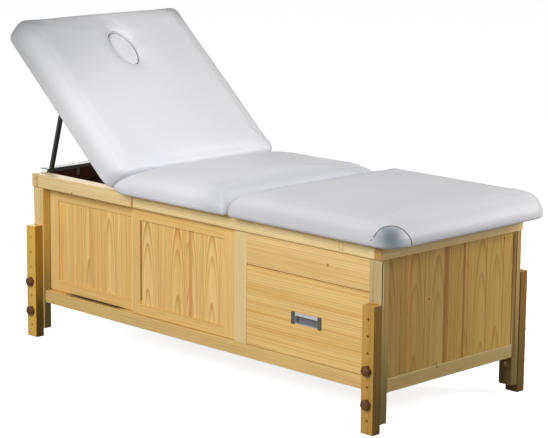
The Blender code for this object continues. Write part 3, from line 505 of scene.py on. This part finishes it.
def dress_door(door, seed, shares, shape):
    low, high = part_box(f"{door}_door_panel")
    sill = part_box(f"{door}_door_frame")[0].z
    inset = 0.0045
    edges = (low.x + inset, high.x - inset, low.z + inset, high.z - inset)
    # Painted shade round the panel's edges, where it meets the frame.
    panel_marks = [(*strip, 0.0020, PANEL_RIM) for strip in frame_of(*edges, 0.0012)]
    if door == "right":
        # Painted shade in the groove by the panel's left edge.
        groove = (edges[0] - 0.002, -FAR, low.z + 0.02), (edges[0] + 0.0038, FAR, high.z - 0.01)
        panel_marks.append((*groove, 0.0018, GAP_SHADE))
        panel_marks.append(((-0.037, -FAR, 0.0), (-0.028, FAR, 1.0), 0.005, DOOR_STRIPE))
        # Painted shade along the bottom of the frame.
        sill_mark = (-FAR, -FAR, 0.0), (FAR, FAR, sill + 0.0008), 0.0012, DOOR_SILL
    else:
        # Painted shadow over the bottom of the frame, by the sill.
        sill_mark = (-0.60, -FAR, 0.0), (-0.42, FAR, sill + 0.0028), (0.10, 1.0, 0.0022), GAP_SHADE
    joints = joints_at(low.x, high.x, shares)
    grained(f"{door}_door_panel", "Z", "Y", seed, joints=joints, span=(low.x, high.x), contrast=1.15,
            bands=0.7, marks=panel_marks, **shape)
    turned = ((low.x + high.x) / 2, (high.x - low.x) / 2 - 0.006)
    grained(f"{door}_door_frame", "Z", "Y", seed + 5, contrast=0.4, ring=0.009, bands=0.3, heart=0.15,
            turned=turned, marks=[sill_mark])


def dress_cabinet():
    for end, seed in (("head", 5.0), ("foot", 11.0)):
        for step, side in enumerate(("front", "back")):
            dress_post(side, end, seed + 2 * step)
            dress_leg(side, end, seed + 2 * step + 20)
    dress_top_rails()
    dress_bottom_rails()
    dress_inner_timber()
    dress_drawer()
    dress_boards()
    dress_door("left", 101.0, (0.20, 0.42, 0.63, 0.84), dict(tilt=0.050, depth=0.012, pith=0.07, tone=1.04))
    dress_door("right", 117.0, (0.22, 0.55, 0.72), dict(tilt=0.085, depth=0.005, pith=0.034))


def dress_plywood():
    # Painted shade: the cabinet's floor and partition are darker, as its unlit inside is.
    dark = ("cabinet_floor", "partition")
    sheets = (*dark, "seat_deck", "foot_deck", "backrest_deck", "drawer_bottom")
    for seed, node in enumerate(sheets):
        face = "X" if node == "partition" else "Z"
        tone = 0.35 if node in dark else 0.85
        grained(node, "Y", face, 131.0 + seed, tone=tone, contrast=0.35, ring=0.02, gloss=0.6)


def metal(name, color, roughness, grain=(1.0, 1.0, 1.0), scatter=0.15, metallic=1.0, sunk=None):
    """Metal or moulded plastic with fine uneven finish, brushed along the axis with the smallest grain.

    sunk is (from, to) along Y: darker towards the second, the bottom of a recess.
    """
    shader = Shader(name, Metallic=metallic)
    stretched = shader.node("Mapping", {"Vector": shader.place(), "Scale": grain}).outputs[0]
    brush = shader.noise(stretched, 160.0, 4.0)
    cloud = shader.noise(shader.place(), 30.0, 2.0)
    amount = shader.remap(brush, 0.2, 0.8, 1 - scatter, 1 + scatter)
    amount = shader.calc("MULTIPLY", amount, shader.remap(cloud, 0.3, 0.7, 0.95, 1.05))
    if sunk:
        depth = shader.split(shader.place())[1]
        amount = shader.calc("MULTIPLY", amount, shader.remap(depth, *sunk, 1.0, 0.30))
    shader.color(shader.tint(color, amount))
    uneven = shader.remap(brush, 0.2, 0.8, roughness * 0.8, roughness * 1.2)
    shader.put(shader.surface.inputs["Roughness"], uneven)
    shader.bump(brush, 0.10, 0.0003)
    return shader.material


def dress_fittings():
    steel = metal("dark_steel", (0.085, 0.095, 0.090), 0.40, metallic=0.3)
    for node in ("prop_bracket", "prop_frame"):
        dress(node, steel)
    # Painted light: the crossbar's steel is a lighter copy of the dark steel.
    dress("crossbar", metal("grey_steel", (0.150, 0.165, 0.165), 0.40, metallic=0.3))
    zinc = metal("zinc_plate", (0.52, 0.52, 0.53), 0.35)
    for node in ("hinge_fixed_leaf", "hinge_moving_leaf", "hinge_pin"):
        dress(node, zinc)
    knob = metal("brown_plastic", (0.165, 0.064, 0.019), 0.42, scatter=0.25, metallic=0.0)
    for node in [name for name in NODES if name.endswith("_leg_knob")]:
        dress(node, knob)
    low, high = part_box("handle_tray")
    sunk = (low.y + 0.002, high.y - 0.001)
    tray = metal("brushed_aluminium", (0.86, 0.88, 0.90), 0.42, (0.03, 1.0, 1.0), 0.08, 0.55, sunk)
    dress("handle_tray", tray)
    cap = metal("grey_plastic", (0.120, 0.125, 0.095), 0.45, metallic=0.0)
    dress("handle_left_cap", cap)
    dress("handle_right_cap", cap)


# --- cushions -----------------------------------------------------------------------------------
def new_object(name, mesh):
    made = bpy.data.objects.new(name, mesh)
    bpy.context.scene.collection.objects.link(made)
    return made


def outline(rect, radii, z, steps=8):
    """Rounded rectangle; rect is (x0, x1, y0, y1) and radii the -X and +X corners'."""
    x0, x1, y0, y1 = rect
    points = []
    for quarter, (sx, sy) in enumerate(((1, 1), (-1, 1), (-1, -1), (1, -1))):
        radius = max(radii[1] if sx > 0 else radii[0], 0.001)
        cx = (x1 if sx > 0 else x0) - sx * radius
        cy = (y1 if sy > 0 else y0) - sy * radius
        for i in range(steps + 1):
            angle = (quarter + i / steps) * math.pi / 2
            points.append((cx + radius * math.cos(angle), cy + radius * math.sin(angle), z))
    return points


def shell(name, rings):
    shape = bmesh.new()
    loops = [[shape.verts.new(point) for point in ring] for ring in rings]
    count = len(loops[0])
    for lower, upper in zip(loops, loops[1:]):
        for i in range(count):
            j = (i + 1) % count
            shape.faces.new((lower[i], lower[j], upper[j], upper[i]))
    shape.faces.new(list(reversed(loops[0])))
    shape.faces.new(loops[-1])
    bmesh.ops.recalc_face_normals(shape, faces=shape.faces)
    mesh = bpy.data.meshes.new(name)
    shape.to_mesh(mesh)
    shape.free()
    return new_object(name, mesh)


def bake(obj):
    """Applies every modifier."""
    bpy.context.view_layer.update()
    graph = bpy.context.evaluated_depsgraph_get()
    mesh = bpy.data.meshes.new_from_object(obj.evaluated_get(graph))
    obj.modifiers.clear()
    old = obj.data
    obj.data = mesh
    bpy.data.meshes.remove(old)


def coords(obj):
    flat = np.empty(len(obj.data.vertices) * 3)
    obj.data.vertices.foreach_get("co", flat)
    return flat.reshape(-1, 3)


def set_coords(obj, points):
    obj.data.vertices.foreach_set("co", points.reshape(-1))
    obj.data.update()


def remesh(obj, voxel, smooth=3):
    modifier = obj.modifiers.new("remesh", "REMESH")
    modifier.mode = "VOXEL"
    modifier.voxel_size = voxel
    relax = obj.modifiers.new("relax", "SMOOTH")
    relax.factor = 0.5
    relax.iterations = smooth
    bake(obj)


CLOTH_FRAMES = 20
CLOTH_PRESSURE = 4.0
INWARD_DROPPED = 0.85
EVENINGS = 10


def fill_with_cloth(obj, held):
    """Each point's place after the cloth solver has filled the cover."""
    group = obj.vertex_groups.new(name="held")
    group.add([int(i) for i in np.nonzero(held)[0]], 1.0, "REPLACE")
    cloth = obj.modifiers.new("cloth", "CLOTH")
    settings = cloth.settings
    settings.quality = 4
    settings.mass = 0.3
    settings.tension_stiffness = 30.0
    settings.compression_stiffness = 30.0
    settings.shear_stiffness = 20.0
    settings.bending_stiffness = 4.0
    settings.use_pressure = True
    settings.uniform_pressure_force = CLOTH_PRESSURE
    settings.vertex_group_mass = "held"
    settings.effector_weights.gravity = 0.0
    cloth.point_cache.frame_start = 1
    cloth.point_cache.frame_end = CLOTH_FRAMES
    scene = bpy.context.scene
    for index in range(1, CLOTH_FRAMES + 1):
        scene.frame_set(index)
    solved = obj.evaluated_get(bpy.context.evaluated_depsgraph_get())
    flat = np.empty(len(solved.data.vertices) * 3)
    solved.data.vertices.foreach_get("co", flat)
    obj.modifiers.clear()
    obj.vertex_groups.clear()
    scene.frame_set(1)
    return flat.reshape(-1, 3)


def inflate(obj, held, cap):
    """Fills the cover with the cloth solver, most of all outwards; no point moves further than cap."""
    start = coords(obj)
    normals = np.array([vertex.normal[:] for vertex in obj.data.vertices])
    moved = fill_with_cloth(obj, held) - start
    inward = np.minimum((moved * normals).sum(axis=1, keepdims=True), 0.0)
    moved -= INWARD_DROPPED * inward * normals
    ends = np.array([edge.vertices[:] for edge in obj.data.edges])
    share = np.bincount(ends.ravel(), minlength=len(start))[:, None]
    for _ in range(EVENINGS):
        total = np.zeros_like(moved)
        np.add.at(total, ends[:, 0], moved[ends[:, 1]])
        np.add.at(total, ends[:, 1], moved[ends[:, 0]])
        moved = 0.5 * moved + 0.5 * total / share
    reach = np.linalg.norm(moved, axis=1, keepdims=True)
    limited = moved * (cap * np.tanh(reach / cap) / np.maximum(reach, 1e-9))
    set_coords(obj, start + limited)


def fit_box(obj, low, high):
    """Stretches the mesh a little, so that its box is low to high."""
    points = coords(obj)
    at, to = points.min(0), points.max(0)
    set_coords(obj, np.array(low) + (points - at) * (np.array(high) - np.array(low)) / (to - at))


def lower_corners(obj, end, side, reach, depth):
    """Lowers the upper surface towards the two corners at x = end.

    side is 1 where the pad lies beyond end, else -1.
    """
    points = coords(obj)
    near = np.clip(1 - side * (points[:, 0] - end) / reach, 0.0, 1.0)
    low, high = points.min(0), points.max(0)
    out = np.clip((np.abs(points[:, 1]) - high[1] + 0.12) / 0.12, 0.0, 1.0)
    upper = np.clip((points[:, 2] - low[2] - 0.02) / 0.04, 0.0, 1.0)
    points[:, 2] -= depth * near * out * upper
    set_coords(obj, points)


def oval_ring(centre, radii, z, count):
    turns = np.linspace(0, 2 * math.pi, count + 1)[:-1]
    x, y = centre
    return [(x + radii[0] * math.cos(turn), y + radii[1] * math.sin(turn), z) for turn in turns]


def pierce(obj, centre, radii):
    """Cuts an oval hole right through, along Z."""
    cutter = shell("cutter", [oval_ring(centre, radii, z, 48) for z in (-0.2, 0.3)])
    cut = obj.modifiers.new("hole", "BOOLEAN")
    cut.operation = "DIFFERENCE"
    cut.object = cutter
    bake(obj)
    bpy.data.objects.remove(cutter)


def pad(name, rect, pocket, bottom, rim, crown, radii, edges, rise=(0.10, 0.10), hole=None, voxel=0.006,
        foot=0.008, shrink=0.002, relax=3):
    """Upholstered section lying flat, hollow underneath for its board.

    rect is the cover's plan, pocket the hollow's plan and top, and rim the height where the side ends.
    radii are those of the plan's corners at -X and +X.
    edges are the rounding of the upper edge at -X, at +X and at the sides.
    rise is how far in from the ends the crown is full, and foot the rounding of the lower edge.
    shrink is how far inside its plan and rim the cover starts, before it is filled.
    """
    x0, x1, y0, y1 = rect
    px0, px1, py0, py1, ceiling = pocket

    def ring(insets, z):
        left, right, side = insets
        plan = (x0 + left, x1 - right, y0 + side, y1 - side)
        return outline(plan, [max(radius - side, 0.0) + 0.004 for radius in radii], z)

    hollow = (px0, px1, py0, py1)
    rings = [outline(hollow, (0.004, 0.004), ceiling), outline(hollow, (0.004, 0.004), bottom)]
    for angle in (0.0, 30.0, 60.0, 90.0):
        turn = math.radians(angle)
        rings.append(ring([shrink + foot * (1 - math.sin(turn))] * 3, bottom + foot * (1 - math.cos(turn))))
    top = bottom + rim - shrink
    largest = max(edges)
    for angle in range(0, 91, 9):
        fall = largest * (1 - math.sin(math.radians(angle)))
        insets = [shrink + edge * (1 - math.sqrt(1 - max(0.0, 1 - fall / edge) ** 2)) for edge in edges]
        rings.append(ring(insets, top - fall))
    reach = (*rise, (y1 - y0) / 2 - shrink - edges[2] - 0.02)
    for step in range(1, 9):
        share = step / 8
        insets = [shrink + edge + size * share for edge, size in zip(edges, reach)]
        rings.append(ring(insets, top + crown * math.sin(share * math.pi / 2) ** 2))
    made = shell(name, rings)
    if hole:
        pierce(made, *hole)
    remesh(made, voxel, relax)
    return made


def finish_pad(made, name, node, body, matrix, material):
    made.data.transform(matrix)
    made.data.materials.clear()
    made.data.materials.append(material)
    made.data.shade_smooth()
    subdivide = made.modifiers.new("fine", "SUBSURF")
    subdivide.levels = 1
    subdivide.render_levels = 1
    bake(made)
    made.data.shade_smooth()
    made.name = name
    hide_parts(node)
    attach(made, body)


COVER_WHITE = (0.745, 0.748, 0.785)
COVER_DRIFT = (0.775, 0.770, 0.795)
PATCH_MIDDLE = (0.215, 0.265, 0.290)
PATCH_RIM = (0.66, 0.67, 0.70)
# Grey of darker spots: painted shade, and darker corners.
SHADE_AND_CORNER_GREY = (0.20, 0.22, 0.23)
# Painted shade towards the seat's crease.
CREASE_SHADE_GREY = (0.30, 0.335, 0.36)


def leather(name, patches=(), shades=(), tone=1.0, crease_shade=None):
    """White coated cloth: fine pebble and faint tonal drift.

    patches are (centre, radius, middle): grey round reinforced corners, darkest at the middle.
    shades are (middle, reach, depth): darker spots of painted shade, and darker corners.
    dulled is (from, to, depth): painted shade, the cover turns greyer between two places along X.
    """
    shader = Shader(name, Roughness=0.5, IOR=1.45, Sheen_Weight=0.08, Sheen_Roughness=0.4)
    place = shader.place()
    cells = shader.node("TexVoronoi", {"Vector": place, "Scale": 520.0}, feature="SMOOTH_F1")
    pebble = cells.outputs["Distance"]
    grain = shader.noise(place, 900.0, 3.0)
    soft = shader.noise(place, 7.0, 2.0)
    color = shader.blend(shader.remap(soft, 0.3, 0.7), COVER_WHITE, COVER_DRIFT)
    color = shader.tint(color, shader.remap(grain, 0.2, 0.8, 0.97 * tone, 1.02 * tone))
    for centre, radius, middle in patches:
        inside = shader.remap(shader.distance(place, centre), radius - 0.0012, radius, 1.0, 0.0)
        outward = shader.remap(shader.distance(place, middle), 0.004, 0.078, 0.0, 1.0, True)
        color = shader.blend(inside, color, shader.blend(outward, PATCH_MIDDLE, PATCH_RIM))
    # Darker spots: painted shade, and darker corners.
    for middle, reach, depth in shades:
        near = shader.remap(shader.distance(place, middle), 0.0, reach, depth, 0.0, True)
        color = shader.blend(near, color, SHADE_AND_CORNER_GREY)
    # Painted shade: greyer along X.
    if crease_shade:
        start, end, depth = crease_shade
        past = shader.remap(shader.split(place)[0], start, end, 0.0, depth, True)
        color = shader.blend(past, color, CREASE_SHADE_GREY)
    shader.color(color)
    height = shader.calc("MULTIPLY_ADD", grain, 0.5, pebble)
    shader.bump(shader.calc("MULTIPLY_ADD", soft, 3.0, height), 0.10, 0.0005)
    return shader.material


SEAM_POINTS = 60
SEAM_RADIUS = 0.0012
SEAM_PROUD = 0.0003


def seam_path(cover, centre, radius):
    """Points on the cover's surface, radius away from centre, in order along the upper side of the sphere."""
    points = coords(cover)
    centre = np.array(centre)
    ends = np.array([edge.vertices[:] for edge in cover.data.edges])
    away = np.linalg.norm(points - centre, axis=1) - radius
    cut = ends[(away[ends[:, 0]] < 0) != (away[ends[:, 1]] < 0)]
    share = (away[cut[:, 0]] / (away[cut[:, 0]] - away[cut[:, 1]]))[:, None]
    line = points[cut[:, 0]] * (1 - share) + points[cut[:, 1]] * share
    line = line[line[:, 2] > centre[2] + 0.004]
    middle = points.mean(0) - centre
    middle[2] = 0.0
    middle /= np.linalg.norm(middle)
    side = np.cross(middle, (0.0, 0.0, 1.0))
    turn = np.arctan2((line - centre)[:, 2], (line - centre) @ side)
    order = np.argsort(turn)
    line, turn = line[order], turn[order]
    steps = np.linspace(turn[0], turn[-1], SEAM_POINTS)
    path = np.stack([np.interp(steps, turn, line[:, axis]) for axis in range(3)], axis=1)
    for _ in range(6):
        path[1:-1] = (path[:-2] + 2 * path[1:-1] + path[2:]) / 4
    corners = [vertex.co for vertex in cover.data.vertices]
    skin = BVHTree.FromPolygons(corners, [face.vertices[:] for face in cover.data.polygons])
    for i, place in enumerate(path):
        spot, normal = skin.find_nearest(Vector(place))[:2]
        path[i] = spot + normal * SEAM_PROUD
    return path


def thread():
    shader = Shader("seam_thread", Roughness=0.7)
    twist = shader.noise(shader.place(), 700.0, 2.0)
    shader.color(shader.tint((0.16, 0.17, 0.18), shader.remap(twist, 0.3, 0.7, 0.8, 1.2)))
    shader.bump(twist, 0.3, 0.0003)
    return shader.material


def seam(name, cover, centre, radius, body):
    """A thin dark sewn edge where the cover is radius away from centre."""
    path = seam_path(cover, centre, radius)
    curve = bpy.data.curves.new(name, "CURVE")
    curve.dimensions = "3D"
    curve.bevel_depth = SEAM_RADIUS
    curve.bevel_resolution = 3
    curve.use_fill_caps = True
    spline = curve.splines.new("POLY")
    spline.points.add(len(path) - 1)
    for point, place in zip(spline.points, path):
        point.co = (*place, 1.0)
    line = new_object(name + "_line", curve)
    bpy.context.view_layer.update()
    mesh = bpy.data.meshes.new_from_object(line.evaluated_get(bpy.context.evaluated_depsgraph_get()))
    bpy.data.objects.remove(line)
    made = new_object(name, mesh)
    mesh.shade_smooth()
    mesh.materials.clear()
    mesh.materials.append(thread())
    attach(made, body)


BACKREST_REACH = 0.005
SEAT_REACH = 0.007
HOLE_SPREAD = (0.001, 0.004)
HOLE_SHIFT = (-0.002, -0.004)
CLEAR = 0.0015
HELD = 0.016
FULLNESS = 0.006
RAIL_SIDE = 0.325
RAIL_END = -0.46


def hollow_for(deck):
    """Plan and top of the hollow that holds a board."""
    low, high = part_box(deck)
    return (low.x - CLEAR, high.x + CLEAR, low.y - CLEAR, high.y + CLEAR, high.z + CLEAR)


def shape_seat_pad(bottom):
    low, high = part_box("seat_cushion")
    low.x -= SEAT_REACH
    made = pad("seat_pad", (low.x, high.x, low.y, high.y), hollow_for("seat_deck"), bottom, rim=0.072,
               crown=0.010, radii=(0.012, 0.012), edges=(0.062, 0.062, 0.044))
    inflate(made, coords(made)[:, 2] < bottom + HELD, FULLNESS)
    fit_box(made, low, high + Vector((0.0, 0.0, 0.004)))
    lift, lift_reach, lift_height = 0.012, 0.042, 0.055
    points = coords(made)
    near = np.clip((low.x + lift_reach - points[:, 0]) / lift_reach, 0.0, 1.0) ** 1.6
    points[:, 2] += lift * near * np.clip(1 - (points[:, 2] - bottom) / lift_height, 0.0, 1.0)
    set_coords(made, points)
    lower_corners(made, low.x, 1, 0.15, 0.020)
    lower_corners(made, high.x, -1, 0.11, 0.020)
    return made, high.x


def shape_foot_pad(bottom):
    low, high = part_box("foot_cushion")
    made = pad("foot_pad", (low.x, high.x, low.y, high.y), hollow_for("foot_deck"), bottom, rim=0.077,
               crown=0.006, radii=(0.026, 0.054), edges=(0.064, 0.066, 0.038), foot=0.004)
    inflate(made, coords(made)[:, 2] < bottom + HELD, FULLNESS)
    fit_box(made, low, high + Vector((0.0, 0.0, 0.006)))
    lower_corners(made, low.x, 1, 0.09, 0.015)
    return made, high


def make_fixed_pads():
    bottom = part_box("seat_cushion")[0].z
    seat, seat_end = shape_seat_pad(bottom)
    foot, high = shape_foot_pad(bottom)
    flat = Matrix.Identity(4)
    corner = (high.x - 0.019, 0.0275 - high.y, bottom)
    corner_radius = 0.066
    patch = (corner, corner_radius, (high.x - 0.014, 0.014 - high.y, bottom + 0.040))
    # Painted shade: the seat's cover turns greyer towards the crease at its +X end.
    seat_cover = leather("white_leather_seat", crease_shade=(seat_end - 0.16, seat_end - 0.03, 0.34))
    finish_pad(seat, "seat_pad", "seat_cushion", "cabinet", flat, seat_cover)
    # Painted shade: the foot pad's cover is a darker copy of the seat's.
    foot_cover = leather("white_leather_foot", [patch], tone=0.87)
    finish_pad(foot, "foot_pad", "foot_cushion", "cabinet", flat, foot_cover)
    seam("front_corner_seam", foot, corner, corner_radius, "cabinet")


def local_box(node):
    """A node's box in the raised backrest's own axes."""
    inverse = BACKREST.inverted()
    points = np.array([list(inverse @ vertex.co) for vertex in NODES[node].data.vertices])
    return points.min(0), points.max(0)


def face_hole():
    """Centre and radii of the oval hole, in the backrest's axes."""
    low, high = local_box("face_plug")
    return (low + high)[:2] / 2 + HOLE_SHIFT, (high - low)[:2] / 2 + HOLE_SPREAD


def drape_backrest(points, low, oval, radii):
    """Lets the edges that overhang the rails hang, and draws the cover in round the face hole."""
    over = np.maximum(np.abs(points[:, 1]) - RAIL_SIDE, RAIL_END - points[:, 0])
    droop = np.clip(over / 0.015, 0.0, 1.0) * np.clip(1 - (points[:, 2] - low[2]) / 0.060, 0.0, 1.0)
    points[:, 2] -= 0.005 * droop
    points[:, 1] += 0.003 * droop * np.sign(points[:, 1]) * (np.abs(points[:, 1]) > RAIL_SIDE)
    gap = (np.linalg.norm((points[:, :2] - oval) / (radii + CLEAR), axis=1) - 1) * radii.mean()
    points[:, 2] -= 0.007 * np.exp(-np.maximum(gap, 0.0) / 0.014) * (points[:, 2] > low[2] + 0.055)


def make_backrest_pad(low, high, oval, radii):
    pocket = (low[0] + 0.029, high[0] - 0.006, -0.292, 0.292, 0.0425)
    made = pad("backrest_pad", (low[0], high[0], low[1], high[1]), pocket, low[2], rim=0.080, crown=0.009,
               radii=(0.040, 0.042), edges=(0.036, 0.020, 0.041), rise=(0.10, 0.03),
               hole=(oval, radii + CLEAR), foot=0.004, shrink=0.001, relax=2)
    points = coords(made)
    share = np.linalg.norm((points[:, :2] - oval) / (radii + CLEAR), axis=1)
    wall = (share < 1.12) & (points[:, 2] < low[2] + 0.070)
    inflate(made, (points[:, 2] < low[2] + HELD) | wall, FULLNESS)
    fit_box(made, low - np.array((0.004, 0.0, 0.0)), high + np.array((0.0, 0.0, 0.006)))
    points = coords(made)
    drape_backrest(points, low, oval, radii)
    set_coords(made, points)
    # Painted shade: a broad spot by the head end's front corner and one on the face hole's +Y side. The last
    # two spots darken the head corners.
    spots = [((low[0] + 0.03, low[1] + 0.06, low[2] + 0.08), 0.42, 0.44)]
    spots.append(((oval[0] - 0.010, oval[1] + 0.058, low[2] + 0.08), 0.055, 0.22))
    for side in (-1, 1):
        spots.append(((low[0] + 0.016, side * (high[1] - 0.024), low[2] + 0.076), 0.10, 0.6))
    shades = [(BACKREST @ Vector(spot), reach, depth) for spot, reach, depth in spots]
    cover = leather("white_leather_backrest", shades=shades)
    finish_pad(made, "backrest_pad", "backrest_cushion", "backrest", BACKREST, cover)


def make_plug_pad(bottom, top, oval, radii):
    """The plug's cover: a flat underside, an upright side, a rounded edge and a slightly domed top."""
    side_inset, edge = 0.0015, 0.009

    def ring(inset, z):
        return oval_ring(oval, radii - inset, z, 64)

    rings = [ring(0.006, bottom + 0.001), ring(0.003, bottom + 0.004), ring(side_inset, top - 0.020)]
    for angle in range(15, 91, 15):
        turn = math.radians(angle)
        rings.append(ring(side_inset + edge * (1 - math.cos(turn)), top - 0.012 + 0.007 * math.sin(turn)))
    for share, rise in ((0.35, 0.0012), (0.65, 0.0021), (0.9, 0.0025)):
        rings.append(ring(side_inset + edge + (radii[1] - 0.012) * share, top - 0.005 + rise))
    made = shell("face_plug_pad", rings)
    remesh(made, 0.004, 3)
    inflate(made, coords(made)[:, 2] < top - 0.020, 0.0025)
    cover = leather("white_leather_plug")
    finish_pad(made, "face_plug_pad", "face_plug", "face_plug", BACKREST, cover)


def make_cushions():
    make_fixed_pads()
    low, high = local_box("backrest_cushion")
    high[0] += BACKREST_REACH
    oval, radii = face_hole()
    make_backrest_pad(low, high, oval, radii)
    make_plug_pad(local_box("face_plug")[0][2], low[2] + 0.079, oval, radii)


# --- studio -------------------------------------------------------------------------------------
FLOOR_GLOW = 0.84
FLOOR_BOUNCE = 0.35
FLOOR_REACH = 14.0
AMBIENT = 0.16
WHITE = (1.0, 1.0, 1.0, 1.0)
# name, place, target, size and power of each softbox
LIGHTS = (
    ("key", (0.5, -3.6, 2.5), (0.0, 0.0, 0.4), (2.4, 1.8), 118.0),
    ("overhead", (0.5, -0.2, 1.8), (-0.5, 0.05, 0.7), (0.8, 0.8), 6.0),
    ("foot_side", (2.2, 1.7, 1.5), (0.0, 0.0, 0.5), (1.0, 1.0), 44.0),
    ("head_side", (-2.6, 0.9, 1.0), (-0.8, 0.0, 0.5), (1.2, 1.0), 16.0),
)


def make_floor():
    """A floor that glows near white to the camera and is dull to everything else."""
    shape = bmesh.new()
    bmesh.ops.create_grid(shape, x_segments=2, y_segments=2, size=FLOOR_REACH)
    mesh = bpy.data.meshes.new("floor")
    shape.to_mesh(mesh)
    shape.free()
    floor = new_object("floor", mesh)
    shader = Shader("pale_floor", Roughness=0.9, Base_Color=(0.90, 0.90, 0.90))
    shader.put(shader.surface.inputs["Emission Color"], (1.0, 1.0, 1.0))
    shader.put(shader.surface.inputs["Emission Strength"], FLOOR_GLOW)
    dull = shader.node("BsdfDiffuse", {"Color": (FLOOR_BOUNCE, FLOOR_BOUNCE, FLOOR_BOUNCE)})
    seen = shader.node("LightPath").outputs["Is Camera Ray"]
    both = shader.node("MixShader", {0: seen, 1: dull.outputs[0], 2: shader.surface.outputs[0]})
    shader.tree.links.new(both.outputs[0], shader.tree.nodes["Material Output"].inputs[0])
    mesh.materials.append(shader.material)


def make_world():
    """A world that is white to the camera and gives little light."""
    world = bpy.data.worlds.new("studio")
    world.use_nodes = True
    bpy.context.scene.world = world
    tree = world.node_tree
    soft = tree.nodes["Background"]
    soft.inputs["Color"].default_value = WHITE
    soft.inputs["Strength"].default_value = AMBIENT
    bright = tree.nodes.new("ShaderNodeBackground")
    bright.inputs["Color"].default_value = WHITE
    bright.inputs["Strength"].default_value = 1.0
    path = tree.nodes.new("ShaderNodeLightPath")
    both = tree.nodes.new("ShaderNodeMixShader")
    tree.links.new(path.outputs["Is Camera Ray"], both.inputs[0])
    tree.links.new(soft.outputs[0], both.inputs[1])
    tree.links.new(bright.outputs[0], both.inputs[2])
    tree.links.new(both.outputs[0], tree.nodes["World Output"].inputs[0])


def softbox(name, place, target, size, power):
    light = bpy.data.lights.new(name, "AREA")
    light.shape = "RECTANGLE"
    light.size, light.size_y = size
    light.energy = power
    made = bpy.data.objects.new(name, light)
    bpy.context.scene.collection.objects.link(made)
    made.location = place
    made.visible_camera = False
    made.rotation_euler = (Vector(target) - Vector(place)).to_track_quat("-Z", "Y").to_euler()


def make_studio():
    make_floor()
    make_world()
    for light in LIGHTS:
        softbox(*light)
    bpy.context.scene.view_settings.view_transform = "Standard"


make_camera()
dress_cabinet()
dress_plywood()
dress_fittings()
make_cushions()
make_studio()
